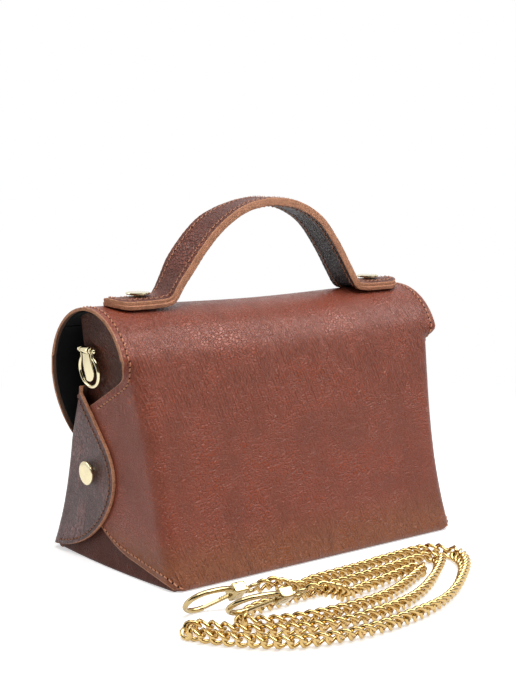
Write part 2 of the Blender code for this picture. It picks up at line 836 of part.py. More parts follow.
foot_plans = {side: round_feet(side) for side in (1.0, -1.0)}
above = box(
    "above_the_tilt_line",
    (-HANDLE_TIP_X, HANDLE_Y - HANDLE_WIDTH, PIVOT_Z),
    (HANDLE_TIP_X, HANDLE_Y + HANDLE_WIDTH, PIVOT_Z + HANDLE_RISE),
)
kept_round = pivot_round("handle_end_round", HANDLE_WIDTH / 2.0, HANDLE_BEND_X)
cleared_round = pivot_round(
    "foot_clearance_round", HANDLE_WIDTH / 2.0 + HANDLE_CLEARANCE, HANDLE_BEND_X + HANDLE_CLEARANCE
)
LAYERS = (("inner", 0.0, STRIP), ("outer", STRIP + GAP, STRIP * 2.0 + GAP))

handle_keep = boolean(above, kept_round, "UNION")

for layer, inner, outer in LAYERS:
    strip = as_mesh(ribbon(f"handle_{layer}_strip", "dark_leather" if layer == "inner" else "leather", inner, outer))
    boolean(strip, handle_keep, "INTERSECT")
    for side in (1.0, -1.0):
        foot = as_mesh(ribbon(f"handle_{layer}_foot_{name_of(side)}", "leather", inner, outer))
        boolean(foot, foot_plans[side], "INTERSECT")
        boolean(foot, cleared_round)
        lid = box(
            f"foot_{layer}_lid_{name_of(side)}",
            (-HANDLE_TIP_X, HANDLE_Y - HANDLE_WIDTH, PIVOT_Z - GAP),
            (HANDLE_TIP_X, HANDLE_Y + HANDLE_WIDTH, PIVOT_Z + HANDLE_RISE),
        )
        boolean(foot, lid)


# Studs: a flat head on a neck, a post through the leather and a cap inside the bag

def stud(name, stack, neck, head, matrix):
    """A stud whose origin lies on the leather's outer face, pointing out along its own Z."""
    depth = stack + CAP_HEIGHT + GAP
    top = neck + head
    profile = [
        (0.0, top),
        (STUD_HEAD_RADIUS - STUD_BEVEL, top),
        (STUD_HEAD_RADIUS, top - STUD_BEVEL),
        (STUD_HEAD_RADIUS, neck),
        (STUD_NECK_RADIUS, neck),
        (STUD_NECK_RADIUS, GAP),
        (STUD_POST_RADIUS, GAP),
        (STUD_POST_RADIUS, -depth),
        (0.0, -depth),
    ]
    post = turned(name, "gold", profile)
    post.matrix_world = matrix
    bore = STUD_POST_RADIUS + GAP
    top_of_cap = -stack - GAP
    cap_profile = [
        (bore, top_of_cap),
        (CAP_RADIUS, top_of_cap),
        (CAP_RADIUS, top_of_cap - CAP_HEIGHT),
        (bore, top_of_cap - CAP_HEIGHT),
    ]
    cap = turned(f"{name}_cap", "gold", cap_profile, closed=True)
    cap.matrix_world = matrix
    return post, cap


def bore_through(name, pieces, matrix, inward, outward):
    """Cuts a stud's hole through every layer that it passes."""
    start = matrix @ Vector((0.0, 0.0, outward))
    end = matrix @ Vector((0.0, 0.0, -inward))
    drill = cylinder(name, STUD_POST_RADIUS + GAP, start, end, sides=16, collection=guides)
    for piece in pieces:
        boolean(piece, drill)


for side in (1.0, -1.0):
    label = name_of(side)
    x = side * HANDLE_STUD_X
    top_z = HANDLE_BASE_Z + STRIP * 2.0 + GAP
    matrix = Matrix.Translation((x, HANDLE_Y, top_z))
    far_side = abs(HANDLE_Y - ARCH_CENTRE_Y) + CAP_RADIUS
    inner_radius = ARCH_RADIUS - LEATHER - LINING - SLACK * 2.0
    underside_z = ARCH_CENTRE_Z - sag(x, HEIGHT) + math.sqrt(inner_radius ** 2 - far_side ** 2)
    stack = top_z - underside_z
    stud(f"handle_stud_{label}", stack, GAP * 2.0, STUD_HEAD, matrix)
    layers = [back_panel, body_lining]
    layers += [bpy.data.objects[f"handle_{layer}_foot_{label}"] for layer in ("inner", "outer")]
    bore_through(f"handle_stud_bore_{label}", layers, matrix, stack + OVERRUN, OVERRUN)

for side in (1.0, -1.0):
    label = name_of(side)
    outer = end_x(WING_STUD_Z) + FRONT_WING_X
    slope = 2.0 * END_FLARE * (WING_STUD_Z - WAIST_HEIGHT) / (HEIGHT - WAIST_HEIGHT) ** 2
    lean = Matrix.Rotation(side * (math.pi / 2.0 + math.atan(slope)), 4, "Y")
    matrix = Matrix.Translation((side * outer, WING_STUD_Y, WING_STUD_Z)) @ lean
    stack = FRONT_WING_X + LEATHER + GAP
    stud(f"wing_stud_{label}", stack, SIDE_NECK, SIDE_HEAD, matrix)
    layers = [back_panel, front_panel, gussets[side]]
    bore_through(f"wing_stud_bore_{label}", layers, matrix, stack + OVERRUN, OVERRUN)


# The ring fitting: a tongue plate with a barrel, a pin with ball ends, and the ring

def tongue_points():
    """The drop-shaped plate in its own plane, barrel end at the top."""
    points = []
    middle = -(PLATE_LENGTH - PLATE_FOOT_HALF)
    for i in range(13):
        angle = math.pi * i / 12
        points.append((-PLATE_FOOT_HALF * math.cos(angle), middle - PLATE_FOOT_HALF * math.sin(angle)))
    points.append((PLATE_TOP_HALF, 0.0))
    points.append((-PLATE_TOP_HALF, 0.0))
    return points


def ring_points():
    """The ring's wire, from one arm at the pin round the bottom to the other arm."""
    points = [(-RING_ARM_Y, 0.0), (-RING_ARM_Y, -RING_EYE)]
    opening = math.asin(RING_ARM_Y / RING_RADIUS)
    for i in range(21):
        angle = math.pi / 2.0 + opening + (2.0 * math.pi - 2.0 * opening) * i / 20
        points.append((RING_RADIUS * math.cos(angle), -RING_DROP + RING_RADIUS * math.sin(angle)))
    points += [(RING_ARM_Y, -RING_EYE), (RING_ARM_Y, 0.0)]
    return points


def pivot_frame(side):
    """The ring's own frame: Y along the pin, Z up the gusset, X away from the bag."""
    slope = 2.0 * END_FLARE * (PIN_Z - WAIST_HEIGHT) / (HEIGHT - WAIST_HEIGHT) ** 2
    out = end_x(PIN_Z) + GAP * 2.0 + BARREL_RADIUS
    turn = Matrix.Rotation(math.atan(slope), 4, "Y")
    if side < 0.0:
        turn = Matrix.Rotation(math.pi, 4, "Z") @ turn
    return Matrix.Translation((side * out, RING_Y, PIN_Z)) @ turn


for side in (1.0, -1.0):
    label = name_of(side)
    frame = empty(f"ring_pivot_{label}", pivot_frame(side))
    stand = Matrix.Rotation(math.pi / 2.0, 4, "Z") @ Matrix.Rotation(math.pi / 2.0, 4, "X")

    plate = outline(f"ring_plate_{label}", "gold", tongue_points(), PLATE)
    plate.matrix_world = Matrix.Translation((PLATE / 2.0 - BARREL_RADIUS, 0.0, 0.0)) @ stand
    plate = as_mesh(plate)
    plate.data.transform(plate.matrix_world)
    plate.matrix_world = Matrix.Identity(4)
    barrel = cylinder(
        f"ring_barrel_{label}", BARREL_RADIUS, (0.0, -BARREL_HALF, 0.0), (0.0, BARREL_HALF, 0.0), sides=20,
        collection=guides,
    )
    bore = cylinder(
        f"ring_barrel_bore_{label}", PIN_RADIUS + GAP, (0.0, -PIN_HALF, 0.0), (0.0, PIN_HALF, 0.0), sides=16,
        collection=guides,
    )
    boolean(plate, barrel, "UNION")
    boolean(plate, bore)

    reach = PIN_HALF + BALL_RADIUS
    ball_start = math.asin(PIN_RADIUS / BALL_RADIUS)
    profile = []
    for i in range(7):
        angle = (math.pi - ball_start) * i / 6
        profile.append((BALL_RADIUS * math.sin(angle), reach - BALL_RADIUS + BALL_RADIUS * math.cos(angle)))
    profile += [(radius, -height) for radius, height in reversed(profile)]
    pin = turned(f"ring_pin_{label}", "gold", profile, steps=20)
    pin.matrix_world = Matrix.Rotation(math.pi / 2.0, 4, "X")

    line = [(0.0, y, z) for y, z in ring_points()]
    ring = as_mesh(wire(f"ring_{label}", "gold", line, RING_WIRE))
    for sign in (1.0, -1.0):
        eye = cylinder(
            f"ring_eye_{label}_{sign:.0f}", RING_EYE,
            (0.0, sign * RING_ARM_Y - RING_EYE_HALF, 0.0), (0.0, sign * RING_ARM_Y + RING_EYE_HALF, 0.0), sides=20,
            collection=guides,
        )
        boolean(ring, ride(eye, frame), "UNION")
    hole = cylinder(
        f"ring_hole_{label}", PIN_RADIUS + GAP, (0.0, -reach, 0.0), (0.0, reach, 0.0), sides=16, collection=guides
    )
    boolean(ring, ride(hole, frame))
    for piece in (plate, barrel, bore, pin, ring):
        ride(piece, frame)
    smooth(plate)
    smooth(ring)


# The magnetic snap: a boss on the flap's inner face drops into a cup on the front panel

def snap_frame(y, slope):
    return Matrix.Translation((0.0, y, SNAP_Z)) @ Matrix.Rotation(math.pi / 2.0 + slope, 4, "X")


panel_slope = math.atan((front_y(SNAP_Z + SNAP_RADIUS) - front_y(SNAP_Z - SNAP_RADIUS)) / (2.0 * SNAP_RADIUS))
panel_face = front_y(SNAP_Z)
flap_face = flap_y(SNAP_Z) + LEATHER + LINING + GAP * 2.0
room = (panel_face - flap_face) * math.cos(panel_slope)
cup_height = room / 2.0
cup = turned(
    "snap_cup", "gold",
    [
        (SNAP_BOSS_RADIUS + GAP, cup_height),
        (SNAP_RADIUS, cup_height),
        (SNAP_RADIUS, GAP * 2.0),
        (SNAP_BOSS_RADIUS + GAP, GAP * 2.0),
    ],
    closed=True,
)
cup.matrix_world = snap_frame(panel_face, -panel_slope)
boss_foot = room - GAP * 2.0
boss = turned(
    "snap_boss", "gold",
    [
        (0.0, boss_foot),
        (SNAP_RADIUS, boss_foot),
        (SNAP_RADIUS, cup_height + GAP),
        (SNAP_BOSS_RADIUS, cup_height + GAP),
        (SNAP_BOSS_RADIUS, GAP * 3.0),
        (0.0, GAP * 3.0),
    ],
)
boss.matrix_world = snap_frame(panel_face, -panel_slope)


# The chain: folded on the floor in nested loops in one layer, both ends held by clasps

CHAIN_ROUTE = [
    (0.0560, 0.1020), (0.0420, 0.0995), (0.0240, 0.0985), (0.0040, 0.0970), (-0.0160, 0.0950),
    (-0.0360, 0.0935), (-0.0500, 0.0960), (-0.0568, 0.1040), (-0.0550, 0.1150), (-0.0450, 0.1290),
    (-0.0270, 0.1440), (-0.0060, 0.1580), (0.0180, 0.1690), (0.0440, 0.1745), (0.0690, 0.1760),
    (0.0900, 0.1735), (0.1070, 0.1680), (0.1200, 0.1595), (0.1300, 0.1485), (0.1380, 0.1365),
    (0.1428, 0.1270), (0.1420, 0.1205), (0.1372, 0.1188), (0.1325, 0.1225), (0.1250, 0.1335),
    (0.1140, 0.1445), (0.0990, 0.1530), (0.0800, 0.1590), (0.0580, 0.1610), (0.0340, 0.1580),
    (0.0120, 0.1500), (-0.0080, 0.1390), (-0.0260, 0.1265), (-0.0395, 0.1150), (-0.0425, 0.1080),
    (-0.0370, 0.1050), (-0.0250, 0.1060), (-0.0080, 0.1085), (0.0120, 0.1105), (0.0340, 0.1120),
    (0.0560, 0.1130), (0.0760, 0.1140), (0.0930, 0.1155), (0.1050, 0.1190), (0.1110, 0.1250),
    (0.1090, 0.1320), (0.1010, 0.1380), (0.0880, 0.1425), (0.0710, 0.1455), (0.0520, 0.1460),
    (0.0310, 0.1430), (0.0110, 0.1360), (-0.0060, 0.1280), (-0.0170, 0.1225), (-0.0190, 0.1180),
    (-0.0130, 0.1175), (0.0000, 0.1200), (0.0170, 0.1235), (0.0330, 0.1260),
]
CHAIN_RISE = [(0.0450, 0.1295, 0.0044), (0.0545, 0.1335, 0.0090)]


def smooth_run(points, steps):
    """A smooth open curve through a list of points."""
    line = []
    ends = [Vector(points[0]) * 2.0 - Vector(points[1])] + [Vector(p) for p in points]
    ends.append(Vector(points[-1]) * 2.0 - Vector(points[-2]))
    for i in range(1, len(ends) - 2):
        p0, p1, p2, p3 = ends[i - 1:i + 3]
        for step in range(steps):
            t = step / steps
            line.append(
                0.5 * (
                    2.0 * p1 + (p2 - p0) * t + (2.0 * p0 - 5.0 * p1 + 4.0 * p2 - p3) * t * t
                    + (3.0 * p1 - p0 - 3.0 * p2 + p3) * t ** 3
                )
            )
    line.append(Vector(points[-1]))
    return line


CLASP_SPOTS = {
    "first": ((0.0925, 0.1010, 0.0098), (0.1280, 0.0990, 0.0096), 46.0),
    "second": ((0.0890, 0.1345, 0.0150), (0.1230, 0.1300, 0.0148), 40.0),
}


def clasp_matrix(spot):
    """A clasp's own frame: X from its swivel towards its nose, rolled up off the floor."""
    back, nose, roll = spot
    along = (Vector(nose) - Vector(back)).normalized()
    turn = along.to_track_quat("X", "Z").to_matrix().to_4x4()
    return Matrix.Translation(back) @ turn @ Matrix.Rotation(math.radians(roll), 4, "X")


def clasp_end(spot):
    """Where the chain meets a clasp's swivel eye, and the direction away from the clasp."""
    matrix = clasp_matrix(spot)
    reach = SWIVEL_REACH + SWIVEL_EYE + SWIVEL_WIRE + GAP
    end = matrix @ Vector((-reach, 0.0, 0.0))
    away = (matrix.to_3x3() @ Vector((-1.0, 0.0, 0.0))).normalized()
    return end, away


def chain_line():
    start, away = clasp_end(CLASP_SPOTS["first"])
    stop, back = clasp_end(CLASP_SPOTS["second"])
    run = CHAIN_DIAMETER
    floor = [Vector((x, y, CHAIN_REST_Z)) for x, y in CHAIN_ROUTE]
    rise = [Vector(point) for point in CHAIN_RISE]
    middle = smooth_run([start + away * run * 1.5] + floor + rise + [stop + back * run * 1.5], 2)
    return [start, start + away * run] + middle + [stop + back * run, stop]


def least_gap(line, diameter):
    """The least clear distance between two stretches of a cord that are not neighbours."""
    least = None
    travelled = [0.0]
    for a, b in zip(line, line[1:]):
        travelled.append(travelled[-1] + (b - a).length)
    for i in range(len(line) - 1):
        for j in range(i + 1, len(line) - 1):
            if travelled[j] - travelled[i + 1] < 2.5 * diameter:
                continue
            gap = segment_distance(line[i], line[i + 1], line[j], line[j + 1]) - diameter
            least = gap if least is None else min(least, gap)
    return least, travelled[-1]


def segment_distance(a, b, c, d):
    best = None
    for i in range(5):
        p = a.lerp(b, i / 4)
        cd = d - c
        t = clamp((p - c).dot(cd) / cd.length_squared)
        gap = (p - c.lerp(d, t)).length
        best = gap if best is None else min(best, gap)
    return best


chain_points = chain_line()
chain_gap, chain_length = least_gap(chain_points, CHAIN_DIAMETER)
print(f"chain: {chain_length:.3f} m long, least gap to itself {chain_gap * 1000.0:.2f} mm")
chain = smooth(as_mesh(wire("chain", "gold", chain_points, CHAIN_DIAMETER / 2.0, rounding=1)))


# The clasps: a swivel eye, a block, a hook-shaped wire and a sprung gate

BLOCK_DROP_SHARE = 0.42


def hook_line():
    """The hook's wire from the block round the nose, in shares of the block's height."""
    shares = [
        (0.75, 0.42), (1.30, 0.62), (2.10, 0.72), (2.75, 0.66), (3.25, 0.36), (3.45, -0.12), (3.35, -0.60),
        (2.95, -0.98), (2.45, -1.12), (2.00, -1.06),
    ]
    return [Vector((x * CLASP_BLOCK_HEIGHT, y * CLASP_BLOCK_HEIGHT, 0.0)) for x, y in shares]


def clasp(label, spot):
    frame = empty(f"clasp_frame_{label}", clasp_matrix(spot))
    low = -CLASP_BLOCK_HEIGHT * BLOCK_DROP_SHARE
    top = low + CLASP_BLOCK_HEIGHT
    half = CLASP_BLOCK_WIDTH / 2.0
    block = box(f"clasp_block_{label}", (GAP, low, -half), (CLASP_BLOCK_LENGTH, top, half))
    bevel = block.modifiers.new("rounded", "BEVEL")
    bevel.width = CLASP_BLOCK_BEVEL
    bevel.segments = 2
    ride(block, frame)

    body = as_mesh(wire(f"clasp_hook_{label}", "gold", smooth_run(hook_line(), 3), CLASP_WIRE))
    ride(body, frame)
    boolean(body, block, "UNION")
    bore = cylinder(
        f"clasp_bore_{label}", CLASP_BORE, (-OVERRUN, 0.0, 0.0), (CLASP_BLOCK_LENGTH * 0.6, 0.0, 0.0), sides=16,
        collection=guides,
    )
    boolean(body, ride(bore, frame))

    hinge = Vector((CLASP_BLOCK_LENGTH * 0.80, low + GATE_HEIGHT * 0.70, 0.0))
    nose = hook_line()[-1] + Vector((-CLASP_WIRE - GAP, CLASP_WIRE * 0.2, 0.0))
    slot = box(
        f"clasp_slot_{label}",
        (CLASP_BLOCK_LENGTH * 0.66 - GATE_HEIGHT * 0.5, low - OVERRUN, -CLASP_SLOT / 2.0),
        (CLASP_BLOCK_LENGTH + OVERRUN, hinge.y + GATE_HEIGHT * 0.9, CLASP_SLOT / 2.0),
    )
    boolean(body, ride(slot, frame))
    pin_hole = cylinder(
        f"gate_pin_hole_{label}", GATE_PIN_RADIUS + GAP,
        hinge - Vector((0.0, 0.0, half + OVERRUN)), hinge + Vector((0.0, 0.0, half + OVERRUN)), sides=16,
        collection=guides,
    )
    boolean(body, ride(pin_hole, frame))
    smooth(body)

    pivot = empty(f"gate_pivot_{label}", Matrix.Translation(hinge))
    ride(pivot, frame)
    along = (nose - hinge).normalized()
    reach = (nose - hinge).length
    thick = GATE_HEIGHT / 2.0
    side_way = Vector((-along.y, along.x, 0.0))
    rim = []
    for i in range(9):
        angle = math.pi * (0.5 + i / 8)
        rim.append(along * thick * math.cos(angle) + side_way * thick * math.sin(angle))
    rim.append(along * reach - side_way * thick * 0.8)
    rim.append(along * reach + side_way * thick * 0.8)
    gate = as_mesh(outline(f"clasp_gate_{label}", "gold", [(p.x, p.y) for p in rim], GATE_WIDTH))
    ride(gate, pivot)
    gate_hole = cylinder(
        f"gate_hole_{label}", GATE_PIN_RADIUS + GAP / 2.0, (0.0, 0.0, -GATE_WIDTH), (0.0, 0.0, GATE_WIDTH),
        sides=16, collection=guides,
    )
    boolean(gate, ride(gate_hole, pivot))
    pin = cylinder(
        f"gate_pin_{label}", GATE_PIN_RADIUS, (0.0, 0.0, -half), (0.0, 0.0, half), sides=16, kind="gold"
    )
    ride(pin, pivot)

    eye_line = []
    for i in range(20):
        angle = 2.0 * math.pi * i / 20
        eye_line.append((-SWIVEL_REACH + SWIVEL_EYE * math.cos(angle), SWIVEL_EYE * math.sin(angle), 0.0))
    swivel = as_mesh(wire(f"clasp_swivel_{label}", "gold", eye_line, SWIVEL_WIRE, closed=True))
    ride(swivel, frame)
    collar = cylinder(
        f"swivel_collar_{label}", SWIVEL_COLLAR, (-SWIVEL_REACH + SWIVEL_EYE, 0.0, 0.0), (0.0, 0.0, 0.0),
        sides=20, collection=guides,
    )
    shank = cylinder(
        f"swivel_shank_{label}", SWIVEL_SHANK, (-SWIVEL_REACH + SWIVEL_EYE, 0.0, 0.0),
        (CLASP_BLOCK_LENGTH * 0.5, 0.0, 0.0), sides=16, collection=guides,
    )
    boolean(swivel, ride(collar, frame), "UNION")
    boolean(swivel, ride(shank, frame), "UNION")
    smooth(swivel)


for label, spot in CLASP_SPOTS.items():
    clasp(label, spot)

bpy.context.view_layer.update()
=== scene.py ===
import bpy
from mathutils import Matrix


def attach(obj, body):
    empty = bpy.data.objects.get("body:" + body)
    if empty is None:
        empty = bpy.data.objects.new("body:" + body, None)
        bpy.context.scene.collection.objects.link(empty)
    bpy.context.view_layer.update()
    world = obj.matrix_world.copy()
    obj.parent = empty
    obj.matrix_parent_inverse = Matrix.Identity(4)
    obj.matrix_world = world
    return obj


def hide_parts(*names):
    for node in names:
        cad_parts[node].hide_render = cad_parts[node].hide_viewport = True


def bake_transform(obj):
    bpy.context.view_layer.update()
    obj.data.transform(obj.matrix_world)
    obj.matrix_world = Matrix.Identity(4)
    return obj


bl_info = {
    "name": "Leather handbag",
    "version": (1, 0, 0),
    "blender": (4, 5, 0),
    "location": "View3D > Sidebar > Handbag",
    "description": "Dresses the packed handbag: stitched leather, linings, gold fittings and a curb chain",
    "category": "Object",
}

import bisect
import bmesh
import bpy
import math
from mathutils import Matrix, Vector, noise

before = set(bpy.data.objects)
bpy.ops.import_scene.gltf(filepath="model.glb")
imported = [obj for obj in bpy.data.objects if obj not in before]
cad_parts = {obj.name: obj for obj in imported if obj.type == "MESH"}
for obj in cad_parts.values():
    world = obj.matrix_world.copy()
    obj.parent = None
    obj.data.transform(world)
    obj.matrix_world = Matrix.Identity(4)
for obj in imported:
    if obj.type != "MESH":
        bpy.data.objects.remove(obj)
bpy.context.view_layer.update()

# The bag's forms, in metres. They are the part's, apart from the keyhole's corner, the base's turned-up ends and
# the ring fitting's tongue, which follow the photograph more closely.
HEIGHT, BASE_DEPTH, TOP_LENGTH = 0.150, 0.123, 0.239
LEATHER, GAP, LINING, SLACK = 0.0018, 0.0003, 0.0008, 0.0006
ARCH_RADIUS, ARCH_CENTRE_Y, TOP_SAG, SAG_FOOT = 0.038, -0.004, 0.0022, 0.070
HINGE_ANGLE, HINGE_EASE = math.radians(134), 0.0105
TUCK_RADIUS, TUCK_FLAT, PANEL_HOLLOW = 0.0036, 0.001, 0.0024
FRONT_TOP_Y, FRONT_TOP_Z = -0.029, 0.103
WAIST_LENGTH, WAIST_HEIGHT, END_FLARE = 0.2062, 0.030, 0.0109
BACK_CORNER, KEYHOLE_CORNER_Z, FUNNEL_TOP_Z, FUNNEL_FOOT_Z = 0.0085, 0.1128, 0.1245, 0.1085
KEYHOLE_ROUND, KEYHOLE_PINCH, PINCH_Z, PINCH_SPREAD = 0.0030, 0.0015, 0.1190, 0.0060
WING_TOP_SLOPE, BACK_WING_GIRTH, WING_RISE, WING_FOOT, WING_BLEND_Z = 2.05, 0.173, 0.0145, 0.0016, 0.040
WING_CURL, WING_CURL_START, WING_ONSET = 0.064, 0.62, 6.0
FRONT_LEAN, FRONT_LEAN_Z = 0.0039, 0.066
FRONT_CORNER, LOBE_TOP_Z, LOBE_TOP_Y, LOBE_REACH_Y, LOBE_ROUND = 0.005, 0.1015, -0.0232, 0.0063, 0.4
LOBE_REACH_Z, LOBE_FOOT_Z = 0.0525, 0.0035
FLAP_CENTRE_Z, FLAP_DROP, FLAP_STAND, FLAP_BEND, FLAP_FULL = 0.119, 0.084, 0.0070, 0.003, 0.87
GUSSET_EDGE_TOP_Y, BASE_CORNER, TAB_HEIGHT, TAB_HALF_FOOT, TAB_HALF_TOP = -0.0195, 0.0024, 0.026, 0.0566, 0.041
BASE_TAPER, BASE_BULGE, BASE_BULGE_Z = 0.012, 0.0024, 0.012
HANDLE_WIDTH, HANDLE_RISE, HANDLE_Y, HANDLE_BOW, HANDLE_LEAN = 0.022, 0.0580, 0.0011, 0.0028, 0.0060
HANDLE_DROOP, HANDLE_TWIST = 0.0021, 0.15
SCALLOP, SCALLOP_LENGTH, RIPPLE, PUCKER = 0.00014, 0.0036, 0.00012, 0.0004
STRIP, FOOT_TIP, HANDLE_STUD_X = 0.0023, 0.1088, 0.0882
WING_STUD_Y, WING_STUD_Z = -0.016, 0.054
RING_Y, PIN_Z, PIN_HALF, BALL_RADIUS = -0.0138, 0.1248, 0.0077, 0.0014
BARREL_RADIUS, BARREL_HALF, PLATE_LENGTH, PLATE_TOP, PLATE_FOOT = 0.00235, 0.0036, 0.0180, 0.0038, 0.0060
RING_RADIUS, RING_DROP, RING_ARM, RING_WIRE = 0.0094, 0.0120, 0.0052, 0.00128
RING_EYE, RING_EYE_HALF, RING_ARM_FOOT, PIN_BORE = 0.0021, 0.0008, -0.0016, 0.0013
ARCH_CENTRE_Z = HEIGHT - ARCH_RADIUS
TAB_X = GAP + LEATHER
BACK_WING_X = TAB_X + GAP + LEATHER
FRONT_WING_X = BACK_WING_X + GAP + LEATHER
HANDLE_BASE_Z = HEIGHT + GAP
PLATE_OUT, PLATE = 0.0006, 0.0009

# Where a stitch is marked along its length, and how high it stands there, in thread radii
STITCH = ((0.0, -0.9), (0.18, 0.35), (0.5, 0.7), (0.82, 0.35), (1.0, -0.9))
STITCH_SLANT, SLANT_SPREAD, SEAM_STEP, HOLE_SHARE, HOLE_LIFT = 0.00013, 0.00012, 0.0004, 0.62, 0.00006
SEAM_FOOT_Z, FOOT_SEAM, FRONT_SEAM_HALF = 0.0955, 0.0052, 0.098

# The camera, fitted to the photograph, and the white surroundings
CAMERA_SPOT, CAMERA_YAW, CAMERA_PITCH, LENS, SENSOR = (0.5338, 0.6609, 0.2368), 4.0335, 0.1367, 74.36, 36.0
FLOOR_RADIUS, FLOOR_GLOW, FLOOR_FADE, FLOOR_FILL, SKY_FILL = 6.0, 0.52, (0.30, 0.62), 0.4, 0.18
CARD_RADIUS, CARD_INNER, CARD_HEIGHT, CARD_FACING, CARD_REACH = 1.7, 0.42, 1.45, 1.13, 1.66

# The bag's two ends: each one's label and the sign of its X
ENDS = (("right", 1.0), ("left", -1.0))


class HandbagSizes(bpy.types.PropertyGroup):
    """Sizes of the trimmings that a maker would change."""

    stitch: bpy.props.FloatProperty(
        name="Stitch", description="Length of one stitch", default=0.0027, unit="LENGTH")
    stitch_gap: bpy.props.FloatProperty(
        name="Stitch gap", description="Leather between two stitches", default=0.0009, unit="LENGTH")
    thread: bpy.props.FloatProperty(
        name="Thread", description="Thickness of the sewing thread", default=0.00084, unit="LENGTH")
    seam_inset: bpy.props.FloatProperty(
        name="Seam inset", description="Distance from an edge to its stitching", default=0.0040, unit="LENGTH")
    link_pitch: bpy.props.FloatProperty(
        name="Link pitch", description="Distance between two chain links", default=0.0063, unit="LENGTH")
    link_width: bpy.props.FloatProperty(
        name="Link width", description="Width across one chain link", default=0.0096, unit="LENGTH")
    link_wire: bpy.props.FloatProperty(
        name="Link wire", description="Thickness of the wire that a link is made of", default=0.0023, unit="LENGTH")


class HandbagColours(bpy.types.PropertyGroup):
    """Colours of the leathers, thread and metal."""

    leather: bpy.props.FloatVectorProperty(
        name="Leather", description="Grain side of the main leather", subtype="COLOR", size=3,
        default=(0.320, 0.068, 0.032))
    # The wing colour is the main leather darkened and dulled: painted shade on the front panel's lobes round the ends
    wing: bpy.props.FloatVectorProperty(
        name="Wing leather", description="Grain side of the end panels", subtype="COLOR", size=3,
        default=(0.165, 0.046, 0.038))
    gusset: bpy.props.FloatVectorProperty(
        name="Gusset leather", description="Dark leather of the gussets and the handle's underside",
        subtype="COLOR", size=3, default=(0.120, 0.027, 0.010))
    raw_edge: bpy.props.FloatVectorProperty(
        name="Raw edge", description="Cut edge of the leather", subtype="COLOR", size=3,
        default=(0.60, 0.285, 0.165))
    thread: bpy.props.FloatVectorProperty(
        name="Thread", description="Sewing thread", subtype="COLOR", size=3, default=(0.60, 0.25, 0.13))
    lining: bpy.props.FloatVectorProperty(
        name="Lining", description="Cloth inside the bag", subtype="COLOR", size=3, default=(0.006, 0.0058, 0.0066))
    gold: bpy.props.FloatVectorProperty(
        name="Gold", description="Plating of the fittings", subtype="COLOR", size=3, default=(0.76, 0.67, 0.43))


def sizes():
    return bpy.context.scene.handbag_sizes


def colours():
    return bpy.context.scene.handbag_colours


def lerp(low, high, share):
    return low + (high - low) * share


def clamp(share, low=0.0, high=1.0):
    return min(high, max(low, share))


def ease(share):
    share = clamp(share)
    return share * share * (3.0 - 2.0 * share)


def spaced(low, high, count):
    """Even steps from one value to another, both included."""
    return [lerp(low, high, i / count) for i in range(count + 1)]


# Materials


class Nodes:
    """A node tree under construction."""

    def __init__(self, block):
        block.use_nodes = True
        self.tree = block.node_tree

    def link(self, source, target):
        self.tree.links.new(source, target)

    def node(self, kind, inputs=None, **settings):
        made = self.tree.nodes.new(kind)
        for key, value in settings.items():
            setattr(made, key, value)
        for key, value in (inputs or {}).items():
            if isinstance(value, bpy.types.NodeSocket):
                self.link(value, made.inputs[key])
            else:
                made.inputs[key].default_value = value
        return made

    def ramp(self, value, low, high, to_low=0.0, to_high=1.0, kind="SMOOTHSTEP"):
        return self.node(
            "ShaderNodeMapRange",
            {"Value": value, "From Min": low, "From Max": high, "To Min": to_low, "To Max": to_high},
            interpolation_type=kind,
        ).outputs["Result"]

    def maths(self, operation, a, b):
        return self.node("ShaderNodeMath", {0: a, 1: b}, operation=operation).outputs[0]

    def in_view(self):
        """1 for what the camera sees directly, in a reflection or through something clear, and 0 for the rest."""
        rays = self.node("ShaderNodeLightPath").outputs
        seen = self.maths("MAXIMUM", rays["Is Camera Ray"], rays["Is Glossy Ray"])
        return self.maths("MAXIMUM", seen, rays["Is Transmission Ray"])


class Finish(Nodes):
    """A node material under construction."""

    def __init__(self, name):
        self.material = bpy.data.materials.new(name)
        super().__init__(self.material)
        self.shader = self.tree.nodes["Principled BSDF"]
        self.place = self.node("ShaderNodeTexCoord").outputs["Object"]

    def stretched(self, scale, turn=(0.0, 0.0, 0.0)):
        spread = tuple(1.0 / size for size in scale)
        return self.node(
            "ShaderNodeMapping", {"Vector": self.place, "Scale": spread, "Rotation": turn}, vector_type="TEXTURE"
        ).outputs[0]

    def noise(self, scale, detail=3.0, vector=None, rough=0.55):
        return self.node(
            "ShaderNodeTexNoise",
            {"Vector": vector or self.place, "Scale": scale, "Detail": detail, "Roughness": rough},
        ).outputs["Fac"]

    def bands(self, scale, distortion, direction):
        return self.node(
            "ShaderNodeTexWave", {"Vector": self.place, "Scale": scale, "Distortion": distortion},
            bands_direction=direction,
        ).outputs["Fac"]

    def blend(self, factor, a, b):
        made = self.node("ShaderNodeMix", {"Factor": factor}, data_type="RGBA")
        for index, value in ((6, a), (7, b)):
            if isinstance(value, bpy.types.NodeSocket):
                self.link(value, made.inputs[index])
            else:
                made.inputs[index].default_value = (*value, 1.0)
        return made.outputs[2]

    def bump(self, height, distance, strength=1.0, under=None):
        inputs = {"Height": height, "Distance": distance, "Strength": strength}
        if under:
            inputs["Normal"] = under
        return self.node("ShaderNodeBump", inputs).outputs[0]

    def height(self):
        return self.node("ShaderNodeSeparateXYZ", {"Vector": self.place}).outputs["Z"]

    def done(self, colour=None, rough=None, normal=None, **fixed):
        for socket, value in (("Base Color", colour), ("Roughness", rough), ("Normal", normal)):
            if value is None:
                continue
            if isinstance(value, bpy.types.NodeSocket):
                self.link(value, self.shader.inputs[socket])
            else:
                self.shader.inputs[socket].default_value = (*value, 1.0) if socket == "Base Color" else value
        for key, value in fixed.items():
            self.shader.inputs[key.replace("_", " ")].default_value = value
        return self.material


